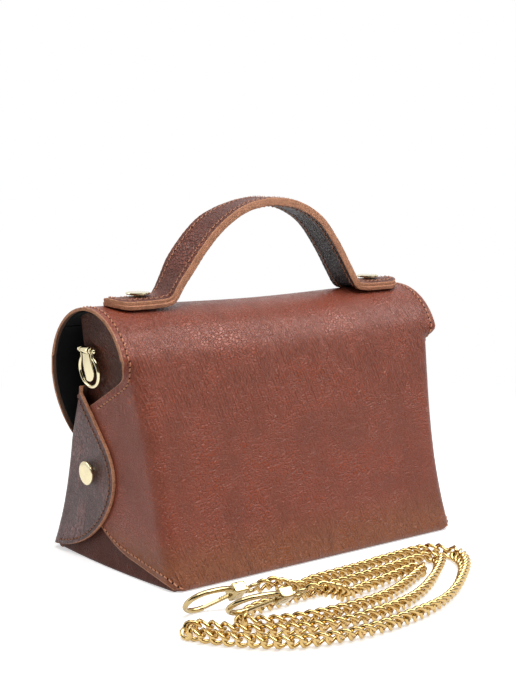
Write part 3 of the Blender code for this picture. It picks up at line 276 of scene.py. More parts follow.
def scaled(colour, share):
    return tuple(min(1.0, part * share) for part in colour)


def leather_finish(
        name, colour, cells, grain, crease, rough, creased=None, ridges=140.0, turn=(0.0, 0.0, 0.0), dark=0.45,
        pale=0.6, foot=None, shine=0.5, border=0.0, coat=0.0):
    """Grained leather: pebbles parted by valleys darkened with painted shade, fine ridges where it has been bent,
    lightened with painted highlights, small pores.

    cells: pebbles per metre along X, Y and Z. grain, crease: depths of the pebbles and the ridges.
    creased: where the leather has been bent, as a function of the finish. ridges, turn: their scale and direction.
    dark, pale: how far painted shade darkens the valleys and painted highlights lighten the ridges. foot: a painted
    reflection, tinting the leather along the bottom edge.
    border: width of the worn line along the cut edges.
    """
    look = Finish(name)
    # Pebbles of two sizes, the smaller ones in patches only
    drift = look.node("ShaderNodeTexNoise", {"Vector": look.place, "Scale": 330.0, "Detail": 2.0}).outputs["Color"]
    drift = look.node("ShaderNodeVectorMath", {0: drift, 1: (0.9, 0.9, 0.9)}, operation="MULTIPLY").outputs[0]
    pebbles = []
    for share in (1.0, 1.9):
        spread = look.stretched(tuple(size * share for size in cells), turn)
        spread = look.node("ShaderNodeVectorMath", {0: spread, 1: drift}, operation="ADD").outputs[0]
        edge = look.node(
            "ShaderNodeTexVoronoi", {"Vector": spread, "Scale": 1.0}, feature="DISTANCE_TO_EDGE").outputs["Distance"]
        pebbles.append(look.ramp(edge, 0.0, 0.20))
    patchy = look.ramp(look.noise(48.0, 2.0), 0.38, 0.66)
    domes = look.maths("MULTIPLY", pebbles[0], look.maths("MAXIMUM", pebbles[1], patchy))
    normal = look.bump(domes, grain, 1.0)
    # Ridges in broken rows, where the leather has been bent
    ridge = look.node(
        "ShaderNodeTexWave", {"Vector": look.stretched((1.0, 1.0, 0.22), turn), "Scale": ridges, "Distortion": 4.2,
                              "Detail": 0.0, "Detail Scale": 0.8}, bands_direction="X").outputs["Fac"]
    broken = look.ramp(look.noise(1.0, 2.0, look.stretched((300.0, 300.0, 80.0), turn)), 0.38, 0.66)
    bent = creased(look) if creased else 0.3
    folds = look.maths("MULTIPLY", look.maths("MULTIPLY", look.ramp(ridge, 0.40, 1.0), broken), bent)
    normal = look.bump(folds, crease, 1.0, normal)
    normal = look.bump(look.noise(2600.0, 2.0), 0.00005, 0.8, normal)
    # Uneven dye, with painted shade darkening the valleys and painted highlights lightening the ridges
    tone = look.blend(look.ramp(look.noise(24.0, 4.0), 0.3, 0.75, 0.0, 0.3), colour, scaled(colour, 1.25))
    tone = look.blend(look.ramp(look.noise(9.0, 2.0), 0.35, 0.7, 0.0, 0.2), tone, scaled(colour, 0.72))
    valley_shade = look.maths("MULTIPLY", look.maths("SUBTRACT", 1.0, domes), dark)
    tone = look.blend(valley_shade, tone, scaled(colour, 0.30))
    tone = look.blend(look.maths("MULTIPLY", folds, pale), tone, scaled(colour, 1.75))
    # A painted reflection of the gold chain: a golden-brown tint fading up from the bottom edge
    if foot:
        tone = look.blend(look.ramp(look.height(), 0.034, 0.006, 0.0, 0.65), tone, foot)
    gloss = look.ramp(look.noise(120.0, 3.0), 0.3, 0.7, rough - 0.05, rough + 0.07)
    gloss = look.maths("ADD", gloss, look.maths("MULTIPLY", look.maths("SUBTRACT", 1.0, domes), 0.16))
    gloss = look.maths("SUBTRACT", gloss, look.maths("MULTIPLY", folds, 0.08))
    # Fibres showing along the cut edges
    if border:
        worn = look.node("ShaderNodeAttribute", attribute_name="rim").outputs["Fac"]
        worn = look.maths("ADD", worn, look.maths("MULTIPLY", look.noise(700.0, 2.0), 0.0006))
        worn = look.ramp(worn, border + 0.0003, border * 0.7 + 0.0003, 0.0, 0.9)
        fibre = look.blend(look.noise(1500.0, 3.0), scaled(colours().raw_edge, 0.7), scaled(colours().raw_edge, 1.2))
        tone = look.blend(worn, tone, fibre)
        gloss = look.maths("ADD", gloss, look.maths("MULTIPLY", worn, 0.4))
    return look.done(tone, gloss, normal, Specular_IOR_Level=shine, Coat_Weight=coat, Coat_Roughness=0.24)


def main_leather():
    """The back, top and flap: creased below the round top and above the bottom edge, with a painted reflection of the
    gold chain along that edge.
    """
    def creased(look):
        z = look.height()
        top = look.maths("MULTIPLY", look.ramp(z, 0.070, 0.112), look.ramp(z, 0.132, 0.146, 1.0, 0.10))
        low = look.ramp(z, 0.040, 0.006, 0.0, 0.8)
        return look.maths("MAXIMUM", look.maths("MAXIMUM", top, low), 0.08)
    return leather_finish(
        "main_leather", colours().leather, cells=(380.0, 500.0, 640.0), grain=0.00042, crease=0.00085, rough=0.28,
        creased=creased, ridges=150.0, turn=(0.0, math.radians(16), 0.0), dark=0.42, pale=0.50,
        foot=(0.29, 0.098, 0.030), shine=0.32, border=0.0009, coat=0.12)


def suede_finish(name):
    """The rough inner side of a leather."""
    return leather_finish(name, (0.17, 0.080, 0.048), cells=(900.0,) * 3, grain=0.0001, crease=0.0001, rough=0.8)


def raw_edge_finish(name, colour):
    """Cut leather: short tan fibres with darker burnished patches."""
    look = Finish(name)
    fibres = look.noise(1500.0, 4.0, look.stretched((1.0, 1.0, 1.6)), 0.7)
    patches = look.noise(260.0, 3.0)
    shade = look.blend(look.ramp(fibres, 0.34, 0.66), scaled(colour, 0.52), scaled(colour, 1.25))
    shade = look.blend(look.ramp(patches, 0.45, 0.75, 0.0, 0.6), shade, scaled(colour, 0.45))
    normal = look.bump(fibres, 0.0005, 1.0)
    return look.done(shade, 0.86, normal, Specular_IOR_Level=0.25)


def thread_finish(name, colour):
    """Sewing thread with a fine twist."""
    look = Finish(name)
    twist = look.bands(900.0, 2.0, "DIAGONAL")
    shade = look.blend(look.ramp(twist, 0.2, 0.8), scaled(colour, 0.7), scaled(colour, 1.2))
    return look.done(shade, 0.55, look.bump(twist, 0.0001, 0.8))


def hole_shadow_finish():
    """The shadow inside a needle hole."""
    made = bpy.data.materials.get("needle_hole_shadow")
    if made:
        return made
    look = Finish("needle_hole_shadow")
    shade = look.blend(look.noise(900.0, 2.0), (0.020, 0.008, 0.006), (0.050, 0.018, 0.012))
    return look.done(shade, 0.9, Specular_IOR_Level=0.1)


def lining_finish():
    """Plain-woven black cloth."""
    look = Finish("black_lining")
    cloth = look.maths("MULTIPLY", look.bands(1100.0, 0.4, "X"), look.bands(1100.0, 0.4, "Z"))
    shade = look.blend(look.ramp(cloth, 0.1, 0.8), scaled(colours().lining, 0.7), scaled(colours().lining, 1.6))
    return look.done(shade, 0.9, look.bump(cloth, 0.00012, 0.7), Specular_IOR_Level=0.2)


def gold_finish(name="pale_gold", rough=0.09, tint=None):
    """Polished plate with faint clouding and hairline wear."""
    look = Finish(name)
    colour = tint or colours().gold
    clouds = look.noise(240.0, 3.0)
    hair = look.noise(900.0, 2.0, look.stretched((1.0, 0.12, 0.6), (0.4, 0.3, 0.9)))
    shade = look.blend(look.ramp(clouds, 0.3, 0.75, 0.0, 0.5), colour, scaled(colour, 0.88))
    hairlines = look.ramp(hair, 0.4, 0.8, rough - 0.02, rough + 0.07)
    gloss = look.maths("ADD", hairlines, look.ramp(clouds, 0.3, 0.8, 0.0, 0.04))
    return look.done(shade, gloss, look.bump(hair, 0.00002, 0.25), Metallic=1.0)


# Mesh helpers


def finished(shape, name, materials, smooth_angle=None):
    """Turns a bmesh into a piece of the scene."""
    mesh = bpy.data.meshes.new(name)
    shape.to_mesh(mesh)
    shape.free()
    piece = bpy.data.objects.new(name, mesh)
    bpy.context.scene.collection.objects.link(piece)
    for finish in materials:
        mesh.materials.append(finish)
    mesh.shade_smooth()
    if smooth_angle:
        mesh.set_sharp_from_angle(angle=math.radians(smooth_angle))
    return piece


def placed(piece, body, slot, *nodes):
    """Tells the frame which body a piece rides on and hides the CAD nodes that it stands for. slot: not used."""
    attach(piece, body)
    if nodes:
        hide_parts(*nodes)


def bevelled(shape, edges, offset, segments=3, limited=True, material=-1):
    """Rounds edges, by less where there is no room if limited."""
    bmesh.ops.bevel(
        shape, geom=edges, offset=offset, offset_type="OFFSET", segments=segments, profile=0.5, affect="EDGES",
        clamp_overlap=limited, material=material)


def sharp_edges(shape, angle):
    """The edges whose two faces meet at more than an angle."""
    return [edge for edge in shape.edges if len(edge.link_faces) == 2 and edge.calc_face_angle() > angle]


def baked(piece):
    """Applies a piece's modifiers."""
    bpy.context.view_layer.update()
    graph = bpy.context.evaluated_depsgraph_get()
    mesh = bpy.data.meshes.new_from_object(piece.evaluated_get(graph), preserve_all_data_layers=True, depsgraph=graph)
    piece.modifiers.clear()
    piece.data = mesh


def leather_sheet(name, columns, rows, surface, materials, thickness, flip=False, rounding=0.0003, even=True):
    """A leather or cloth panel: a grid laid on a surface, then given its thickness and cut edges.

    materials: the grain side, the cut edge and the inner side, as far as they differ.
    rounding: how much the grain side's border is rounded. even: keeps the thickness round tight bends.
    """
    shape = bmesh.new()
    across, down = len(columns) - 1, len(rows) - 1
    bmesh.ops.create_grid(shape, x_segments=across, y_segments=down, size=1.0)
    border = shape.verts.layers.float.new("rim")
    laid = {(i, j): surface(column, row) for i, column in enumerate(columns) for j, row in enumerate(rows)}
    for vert in shape.verts:
        i = round((vert.co.x + 1.0) / 2.0 * across)
        j = round((vert.co.y + 1.0) / 2.0 * down)
        vert.co = laid[i, j]
        ends = (laid[0, j], laid[across, j], laid[i, 0], laid[i, down])
        vert[border] = min((laid[i, j] - end).length for end in ends)
    bmesh.ops.remove_doubles(shape, verts=shape.verts, dist=0.00001)
    if flip:
        bmesh.ops.reverse_faces(shape, faces=shape.faces)
    piece = finished(shape, name, materials)
    solid = piece.modifiers.new("thickness", "SOLIDIFY")
    solid.thickness = thickness
    solid.offset = -1.0
    solid.use_even_offset = even
    if len(materials) > 1:
        solid.material_offset_rim = 1
    if len(materials) > 2:
        solid.material_offset = 2
    baked(piece)
    if rounding:
        shape = bmesh.new()
        shape.from_mesh(piece.data)
        rim = [edge for edge in shape.edges if {face.material_index for face in edge.link_faces} == {0, 1}]
        bevelled(shape, rim, rounding, limited=False, material=1)
        shape.to_mesh(piece.data)
        shape.free()
    piece.data.set_sharp_from_angle(angle=math.radians(50))
    return piece


def turned(name, profile, materials, matrix=Matrix(), steps=48, rounded=0.0):
    """Spins a profile of (radius, height) points about its own Z axis."""
    shape = bmesh.new()
    points = [shape.verts.new((radius, 0.0, height)) for radius, height in profile]
    lines = [shape.edges.new(pair) for pair in zip(points, points[1:])]
    bmesh.ops.spin(
        shape, geom=points + lines, cent=(0.0, 0.0, 0.0), axis=(0.0, 0.0, 1.0), angle=math.tau, steps=steps,
        use_merge=True, use_duplicate=False)
    bmesh.ops.remove_doubles(shape, verts=shape.verts, dist=0.000001)
    bmesh.ops.recalc_face_normals(shape, faces=shape.faces)
    if rounded:
        bevelled(shape, sharp_edges(shape, 0.7), rounded)
    bmesh.ops.transform(shape, matrix=matrix, verts=shape.verts)
    return finished(shape, name, materials, 40)


def tube(name, bore, radius, half, materials, matrix, steps, rounded=0.0):
    """A short tube about its own Z axis."""
    profile = [(bore, half), (radius, half), (radius, -half), (bore, -half), (bore, half)]
    return turned(name, profile, materials, matrix, steps, rounded)


def swept(name, line, section, materials, closed=False, matrix=Matrix(), up=Vector((0.0, 0.0, 1.0)), smooth_angle=50):
    """Carries a closed section of (side, up) points along a line: a flat or round wire."""
    shape = bmesh.new()
    rings = []
    count = len(line)
    for k, point in enumerate(line):
        before = line[k - 1] if closed or k else line[0]
        after = line[(k + 1) % count] if closed or k < count - 1 else line[-1]
        along = (after - before).normalized()
        side = along.cross(up).normalized()
        lift = side.cross(along)
        rings.append([shape.verts.new(point + side * a + lift * b) for a, b in section])
    loops = [[shape.edges.new((ring[i], ring[(i + 1) % len(ring)])) for i in range(len(ring))] for ring in rings]
    pairs = list(zip(loops, loops[1:]))
    if closed:
        pairs.append((loops[-1], loops[0]))
    for a, b in pairs:
        bmesh.ops.bridge_loops(shape, edges=a + b)
    if not closed:
        bmesh.ops.holes_fill(shape, edges=loops[0] + loops[-1], sides=0)
    bmesh.ops.recalc_face_normals(shape, faces=shape.faces)
    bmesh.ops.transform(shape, matrix=matrix, verts=shape.verts)
    return finished(shape, name, materials, smooth_angle)


def round_section(radius, sides=12, squash=1.0):
    return [
        (radius * math.cos(math.tau * i / sides), radius * squash * math.sin(math.tau * i / sides))
        for i in range(sides)
    ]


def band_section(width, height, corner, steps=3):
    """A flat bar with rounded corners."""
    points = []
    x, y = width / 2 - corner, height / 2 - corner
    for cx, cy, start in ((x, y, 0.0), (-x, y, 90.0), (-x, -y, 180.0), (x, -y, 270.0)):
        for i in range(steps + 1):
            angle = math.radians(start + 90.0 * i / steps)
            points.append((cx + corner * math.cos(angle), cy + corner * math.sin(angle)))
    return points


def joined(name, pieces):
    """Makes several pieces one, keeping each one's material."""
    shape = bmesh.new()
    materials = []
    for piece in pieces:
        slots = []
        for finish in piece.data.materials:
            if finish not in materials:
                materials.append(finish)
            slots.append(materials.index(finish))
        start = len(shape.faces)
        shape.from_mesh(piece.data)
        shape.faces.ensure_lookup_table()
        for face in shape.faces[start:]:
            face.material_index = slots[min(face.material_index, len(slots) - 1)]
        bpy.data.objects.remove(piece, do_unlink=True)
    return finished(shape, name, materials, 40)


def spline(points, steps):
    """A smooth line through points."""
    points = [Vector(point) for point in points]
    ends = [points[0] * 2.0 - points[1]] + points + [points[-1] * 2.0 - points[-2]]
    line = []
    for i in range(1, len(ends) - 2):
        p0, p1, p2, p3 = ends[i - 1:i + 3]
        for step in range(steps):
            t = step / steps
            line.append(0.5 * (
                2.0 * p1 + (p2 - p0) * t + (2.0 * p0 - 5.0 * p1 + 4.0 * p2 - p3) * t * t
                + (3.0 * p1 - p0 - 3.0 * p2 + p3) * t ** 3))
    return line + [points[-1]]


def measured(line):
    """The distance from a line's start to each of its points."""
    lengths = [0.0]
    for a, b in zip(line, line[1:]):
        lengths.append(lengths[-1] + (b - a).length)
    return lengths


def spot_at(lengths, wanted):
    """The step of a line, and the share of that step, at a distance from its start."""
    k = clamp(bisect.bisect_right(lengths, wanted) - 1, 0, len(lengths) - 2)
    return k, (wanted - lengths[k]) / max(1e-9, lengths[k + 1] - lengths[k])


def evenly(line, step):
    """Points at even steps along a line."""
    spots, left = [], 0.0
    for a, b in zip(line, line[1:]):
        length = (b - a).length
        while left <= length:
            spots.append(a.lerp(b, left / length))
            left += step
        left -= length
    return spots


# The surfaces


def arch_point(angle, inset=0.0):
    """A point of the round top, seen from the end: its Y and Z."""
    radius = ARCH_RADIUS - inset
    return ARCH_CENTRE_Y + radius * math.cos(angle), ARCH_CENTRE_Z + radius * math.sin(angle)


def arch_tangent(y, z):
    """The angle at which a straight line from a point touches the arch."""
    out_y, out_z = y - ARCH_CENTRE_Y, z - ARCH_CENTRE_Z
    return math.atan2(out_z, out_y) + math.acos(ARCH_RADIUS / math.hypot(out_y, out_z))


BACK_ANGLE = arch_tangent(BASE_DEPTH / 2.0, TUCK_RADIUS)
BACK_TOP_Y, BACK_TOP_Z = arch_point(BACK_ANGLE)
TUCK_LENGTH = TUCK_FLAT + TUCK_RADIUS * math.pi / 2.0
BACK_LENGTH = TUCK_LENGTH + BACK_TOP_Z - TUCK_RADIUS
WING_BLEND_LENGTH = TUCK_LENGTH + WING_BLEND_Z - TUCK_RADIUS
HINGE_LENGTH = BACK_LENGTH + ARCH_RADIUS * (HINGE_ANGLE - BACK_ANGLE)
ARC_END = BACK_LENGTH + ARCH_RADIUS * (math.pi - BACK_ANGLE)


def hollow(share):
    """How far a panel is drawn in at a share of its height."""
    share = clamp(share)
    return PANEL_HOLLOW * 6.75 * share * (1.0 - share) ** 2


def back_y(z):
    """The back's outer face, up to the top of the arch."""
    if z > BACK_TOP_Z:
        return ARCH_CENTRE_Y + math.sqrt(ARCH_RADIUS ** 2 - min(z - ARCH_CENTRE_Z, ARCH_RADIUS) ** 2)
    share = (z - TUCK_RADIUS) / (BACK_TOP_Z - TUCK_RADIUS)
    return lerp(BASE_DEPTH / 2.0, BACK_TOP_Y, share) - hollow(share)


def front_face(z):
    """The flat front as the flap hangs before it; front_y adds the front panel's lean."""
    share = (z - TUCK_RADIUS) / (FRONT_TOP_Z - TUCK_RADIUS)
    return lerp(-BASE_DEPTH / 2.0, FRONT_TOP_Y, share) + hollow(share)


def front_y(z):
    return front_face(z) + FRONT_LEAN * ease((z - FRONT_LEAN_Z) / (FRONT_TOP_Z - FRONT_LEAN_Z))


def flap_y(z):
    """The flap's outer face: it hangs straight down from the arch, then leans out with the front."""
    hang = ARCH_CENTRE_Y - ARCH_RADIUS
    stand = front_face(z) - FLAP_STAND
    share = clamp((1.0 + (stand - hang) / FLAP_BEND) / 2.0)
    return lerp(stand, hang, share) - FLAP_BEND * share * (1.0 - share)


def end_x(z):
    """The gusset's outer face, which flares out towards the top."""
    return WAIST_LENGTH / 2.0 + END_FLARE * ((z - WAIST_HEIGHT) / (HEIGHT - WAIST_HEIGHT)) ** 2


def sunk(x, y, z):
    """A point let down by the top's sag."""
    along = math.cos(math.pi * clamp(abs(x) / TOP_LENGTH * 2.0) / 2.0)
    return Vector((x, y, z - TOP_SAG * along ** 2 * ease((z - SAG_FOOT) / (HEIGHT - SAG_FOOT))))


def wrap(distance, start, corner, turn):
    """How far out and how far back a leather lies after it has turned a corner."""
    if distance <= start:
        return distance, 0.0
    angle = (distance - start) / corner
    if angle <= turn:
        return start + corner * math.sin(angle), corner * (1.0 - math.cos(angle))
    past = distance - start - corner * turn
    return (
        start + corner * math.sin(turn) + past * math.cos(turn),
        corner * (1.0 - math.cos(turn)) + past * math.sin(turn),
    )


def tucked(length):
    """How far in and how high a point lies, by its distance up from a panel's lower edge."""
    if length <= TUCK_FLAT:
        return TUCK_RADIUS + TUCK_FLAT - length, 0.0
    if length <= TUCK_LENGTH:
        angle = (length - TUCK_FLAT) / TUCK_RADIUS
        return TUCK_RADIUS * (1.0 - math.sin(angle)), TUCK_RADIUS * (1.0 - math.cos(angle))
    return 0.0, length - TUCK_LENGTH + TUCK_RADIUS


def back_wing_end(z):
    """How far out the back and its wing reach at a height, with a rounded corner under the keyhole."""
    wing = TOP_LENGTH / 2.0 + WING_TOP_SLOPE * (KEYHOLE_CORNER_Z - z)
    upper = TOP_LENGTH / 2.0 - KEYHOLE_PINCH * max(0.0, 1.0 - ((z - PINCH_Z) / PINCH_SPREAD) ** 2)
    blunt = KEYHOLE_ROUND * ease((0.1300 - z) / 0.0080)
    return min(BACK_WING_GIRTH, (wing + upper + math.hypot(wing - upper, blunt)) / 2.0)


def corner_start(z, layer=BACK_WING_X, corner=BACK_CORNER):
    """How far out a leather starts to turn round the end, at a height."""
    return end_x(z) + layer - corner


def wing_height(length, z, along):
    """The height of a point of the back wing, whose lower edge climbs towards the front."""
    if z >= WING_BLEND_Z:
        return z
    low = WING_FOOT + WING_RISE * along + WING_CURL * max(0.0, along - WING_CURL_START) ** 2
    return lerp(z, lerp(low, WING_BLEND_Z, length / WING_BLEND_LENGTH), ease(along * WING_ONSET))


def main_at(girth, length):
    """A point of the main leather by its distance from the middle and up from the back's lower edge."""
    side, reach = math.copysign(1.0, girth), abs(girth)
    if length > BACK_LENGTH:
        angle = BACK_ANGLE + (length - BACK_LENGTH) / ARCH_RADIUS
        if angle > math.pi / 2.0:
            if angle <= math.pi:
                y, z = arch_point(angle)
            else:
                z = ARCH_CENTRE_Z - (length - ARC_END)
                y = flap_y(z)
            return sunk(girth, y, z)
        inset, z = 0.0, arch_point(angle)[1]
    else:
        inset, z = tucked(length)
    start = corner_start(z)
    if reach <= start:
        return sunk(girth, back_y(max(z, TUCK_RADIUS)) - inset, z)
    end = back_wing_end(z)
    along = (reach - start) / max(1e-6, end - start)
    wing_z = wing_height(length, z, along)
    fade = ease(along * WING_ONSET)
    start = corner_start(wing_z)
    reach = lerp(start, back_wing_end(wing_z), along)
    turn = math.pi / 2.0 * (1.0 - ease((wing_z - FUNNEL_FOOT_Z) / (FUNNEL_TOP_Z - FUNNEL_FOOT_Z)))
    x, back = wrap(reach, start, BACK_CORNER, turn)
    y = back_y(max(wing_z, TUCK_RADIUS)) - back - inset * (1.0 - fade)
    return sunk(side * x, y, wing_z)


def flap_end(girth):
    """The length at which the half-moon flap ends, by the distance from its middle."""
    reach = clamp(abs(girth) / (TOP_LENGTH / 2.0)) ** (1.0 / FLAP_FULL)
    drop = FLAP_DROP * math.sqrt(max(0.0, 1.0 - reach * reach)) ** FLAP_FULL
    z = FLAP_CENTRE_Z - drop
    if z < ARCH_CENTRE_Z:
        return ARC_END + ARCH_CENTRE_Z - z
    return BACK_LENGTH + ARCH_RADIUS * (math.pi - math.asin((z - ARCH_CENTRE_Z) / ARCH_RADIUS) - BACK_ANGLE)


def front_at(girth, length):
    """A point of the front panel, whose lobes lap round the ends."""
    side, reach = math.copysign(1.0, girth), abs(girth)
    inset, z = tucked(length)
    start = corner_start(z, FRONT_WING_X, FRONT_CORNER)
    if reach <= start:
        return Vector((girth, front_y(max(z, TUCK_RADIUS)) + inset, z))
    along = (reach - start) / max(1e-6, front_end(length) - start)
    fade = ease(along * WING_ONSET)
    wing_z = z
    if z < WING_BLEND_Z:
        low = lerp(LOBE_FOOT_Z, WING_BLEND_Z, length / WING_BLEND_LENGTH)
        wing_z = lerp(z, low, fade)
    start = corner_start(wing_z, FRONT_WING_X, FRONT_CORNER)
    face = front_y(max(wing_z, TUCK_RADIUS))
    distance = lerp(start, lobe_girth(wing_z), along)
    x, back = wrap(distance, start, FRONT_CORNER, math.pi / 2.0)
    return Vector((side * x, face + back + inset * (1.0 - fade), wing_z))


def lobe_end(z):
    """How far back the front panel's lobe reaches at a height."""
    if z >= LOBE_REACH_Z:
        share = clamp((z - LOBE_REACH_Z) / (LOBE_TOP_Z - LOBE_REACH_Z))
        fall = share ** 2 / LOBE_ROUND / 2.0 if share < LOBE_ROUND else share - LOBE_ROUND / 2.0
        return lerp(LOBE_REACH_Y, LOBE_TOP_Y, fall / (1.0 - LOBE_ROUND / 2.0))
    share = clamp((LOBE_REACH_Z - z) / (LOBE_REACH_Z - LOBE_FOOT_Z))
    return lerp(front_y(LOBE_FOOT_Z), LOBE_REACH_Y, math.sqrt(max(0.0, 1.0 - share ** 1.70)))


def lobe_girth(z):
    """How far out the front panel reaches at a height, measured round its corner."""
    straight = max(0.0, lobe_end(z) - front_y(max(z, TUCK_RADIUS)) - FRONT_CORNER)
    return corner_start(z, FRONT_WING_X, FRONT_CORNER) + FRONT_CORNER * math.pi / 2.0 + straight


def front_end(length):
    """How far out the front panel reaches at a distance up from its lower edge."""
    z = tucked(length)[1]
    if z < WING_BLEND_Z:
        z = lerp(LOBE_FOOT_Z, WING_BLEND_Z, length / WING_BLEND_LENGTH)
    return lobe_girth(z)


def spread_columns(main, wing):
    """Signed shares across a wrapped panel: below 1 over its middle, from 1 to 2 round the ends."""
    middle = [i / main for i in range(main + 1)]
    ends = [1.0 + i / wing for i in range(1, wing + 1)]
    half = middle + ends
    return [-share for share in reversed(half[1:])] + half


def reach_of(share, start, end):
    """The signed distance from the middle that belongs to a column's share."""
    size = abs(share)
    reach = start * size if size <= 1.0 else lerp(start, end, size - 1.0)
    return math.copysign(reach, share)


def seam_line(outline, inset):
    """A line at a distance inside an outline, both drawn flat."""
    flat = [Vector((a, b)) for a, b in outline]
    moved = []
    for i, point in enumerate(flat):
        before, after = flat[max(0, i - 1)], flat[min(len(flat) - 1, i + 1)]
        along = (after - before).normalized()
        moved.append(point + Vector((-along.y, along.x)) * inset)
    return moved


def surface_normal(surface, a, b, step=0.0004):
    """Which way a surface faces at a place on it."""
    across = surface(a + step, b) - surface(a - step, b)
    down = surface(a, b + step) - surface(a, b - step)
    return across.cross(down).normalized()


def thread_pattern():
    """A straight thread along X for the stitches to bend: hexagons at 0, 1, 2, 3 and 4."""
    thread = bmesh.new()
    bmesh.ops.create_circle(
        thread, cap_ends=False, segments=6, radius=1.0, matrix=Matrix.Rotation(math.pi / 2.0, 4, "Y"))
    ring = thread.edges[:]
    for _ in STITCH[1:]:
        made = bmesh.ops.extrude_edge_only(thread, edges=ring)["geom"]
        fresh = {item for item in made if isinstance(item, bmesh.types.BMVert)}
        bmesh.ops.translate(thread, vec=(1.0, 0.0, 0.0), verts=list(fresh))
        ring = [edge for edge in thread.edges if fresh.issuperset(edge.verts)]
    bmesh.ops.holes_fill(thread, edges=thread.edges[:], sides=0)
    pattern = bpy.data.meshes.new("thread")
    thread.to_mesh(pattern)
    thread.free()
    return pattern


def stitches(name, runs, material):
    """Rows of stitches: each a short thread whose two ends dip into the leather, and a dark disc after it, the painted
    shadow inside a needle hole.

    runs: each row's surface, its line drawn flat on that surface, and the sign that turns the normal outwards.
    """
    shape = bmesh.new()
    pattern, holes = thread_pattern(), []
    size = sizes()
    radius, step = size.thread / 2.0, size.stitch + size.stitch_gap
    for surface, line, outward in runs:
        fine = []
        for a, b in zip(line, line[1:]):
            steps = max(1, int((b - a).length / SEAM_STEP))
            fine += [a.lerp(b, k / steps) for k in range(steps)]
        fine.append(line[-1])
        lengths = measured([surface(p.x, p.y) for p in fine])
        for n in range(int(lengths[-1] / step)):
            marks = []
            for share, rise in STITCH:
                k, part = spot_at(lengths, n * step + share * size.stitch)
                flat = fine[k].lerp(fine[k + 1], part)
                up = surface_normal(surface, flat.x, flat.y) * outward
                marks.append((surface(flat.x, flat.y) + up * rise * radius, up))
            end, up = marks[-1]
            along = (end - marks[0][0]).normalized()
            slant = STITCH_SLANT + noise.noise(Vector((n * 0.7, lengths[-1] * 50.0, 0.3))) * SLANT_SPREAD
            start = len(shape.verts)
            shape.from_mesh(pattern)
            shape.verts.ensure_lookup_table()
            for vert in shape.verts[start:]:
                ring, sideways, upwards = vert.co
                point, lift = marks[round(ring)]
                side = along.cross(lift).normalized()
                vert.co = point + side * (slant * (ring - 2.0) + sideways * radius) + lift * upwards * radius
            place = Matrix.Translation(end + along * size.stitch_gap * 0.5 + up * (0.9 * radius + HOLE_LIFT))
            holes.append(place @ up.to_track_quat("Z", "Y").to_matrix().to_4x4())
    bpy.data.meshes.remove(pattern)
    bmesh.ops.recalc_face_normals(shape, faces=shape.faces[:])
    # A dark disc at each needle hole is the painted shadow inside it
    for place in holes:
        disc = bmesh.ops.create_circle(
            shape, cap_ends=True, segments=8, radius=size.stitch_gap * HOLE_SHARE, matrix=place)
        disc["verts"][0].link_faces[0].material_index = 1
    return finished(shape, name, [material, hole_shadow_finish()])


# The chain

CHAIN_ROUTE = [
    (0.0560, 0.1020), (0.0420, 0.0995), (0.0240, 0.0985), (0.0040, 0.0970), (-0.0160, 0.0950),
    (-0.0360, 0.0935), (-0.0500, 0.0960), (-0.0568, 0.1040), (-0.0550, 0.1150), (-0.0450, 0.1290),
    (-0.0270, 0.1440), (-0.0060, 0.1580), (0.0180, 0.1690), (0.0440, 0.1745), (0.0690, 0.1760),
    (0.0900, 0.1735), (0.1070, 0.1680), (0.1200, 0.1595), (0.1300, 0.1485), (0.1380, 0.1365),
    (0.1428, 0.1270), (0.1420, 0.1205), (0.1372, 0.1188), (0.1325, 0.1225), (0.1250, 0.1335),
    (0.1140, 0.1445), (0.0990, 0.1530), (0.0800, 0.1590), (0.0580, 0.1610), (0.0340, 0.1580),
    (0.0120, 0.1500), (-0.0080, 0.1390), (-0.0260, 0.1265), (-0.0395, 0.1150), (-0.0425, 0.1080),
    (-0.0370, 0.1050), (-0.0250, 0.1060), (-0.0080, 0.1085), (0.0120, 0.1105), (0.0340, 0.1120),
    (0.0560, 0.1130), (0.0760, 0.1140), (0.0930, 0.1155), (0.1050, 0.1190), (0.1110, 0.1250),
    (0.1090, 0.1320), (0.1010, 0.1380), (0.0880, 0.1425), (0.0710, 0.1455), (0.0520, 0.1460),
    (0.0310, 0.1430), (0.0110, 0.1360), (-0.0060, 0.1280), (-0.0170, 0.1225), (-0.0190, 0.1180),
    (-0.0130, 0.1175), (0.0000, 0.1200), (0.0170, 0.1235), (0.0330, 0.1260),
]
CHAIN_RISE = [(0.0450, 0.1295, 0.0052), (0.0545, 0.1335, 0.0094)]
CHAIN_Z, CHAIN_REST, CHAIN_STEP, LINK_TWIST = 0.0043, 0.0002, 0.0005, math.radians(46)
CLASP_SPOTS = {
    "first": ((0.0925, 0.1010, 0.0098), (0.1280, 0.0990, 0.0096), 46.0),
    "second": ((0.0890, 0.1345, 0.0150), (0.1230, 0.1300, 0.0148), 40.0),
}
SWIVEL_REACH, SWIVEL_EYE, SWIVEL_WIRE = 0.0064, 0.0034, 0.0010
BLOCK_LENGTH, BLOCK_HEIGHT, BLOCK_WIDTH = 0.0080, 0.0098, 0.0058
BLOCK_LOW = -BLOCK_HEIGHT * 0.42
SPRING_TURNS, SPRING_RADIUS, SPRING_WIRE = 6.0, 0.0008, 0.00017
HOOK_WIRE, GATE_WIDTH, GATE_DEPTH, HINGE_ALONG, HINGE_UP = 0.00135, 0.0020, 0.0018, 0.80, 0.0017
GATE_EYE, GATE_EYE_HALF, GATE_PIN, PIN_PROUD = 0.00125, 0.0009, 0.0006, 0.0002
CHAIN_LEAD, CHAIN_STRAIGHT = 0.006, 0.009


def clasp_matrix(spot):
    """Places a clasp, which is made with its swivel at the origin and its nose along +X."""
    back, nose, roll = spot
    along = (Vector(nose) - Vector(back)).normalized()
    turn = along.to_track_quat("X", "Z").to_matrix().to_4x4()
    return Matrix.Translation(back) @ turn @ Matrix.Rotation(math.radians(roll), 4, "X")


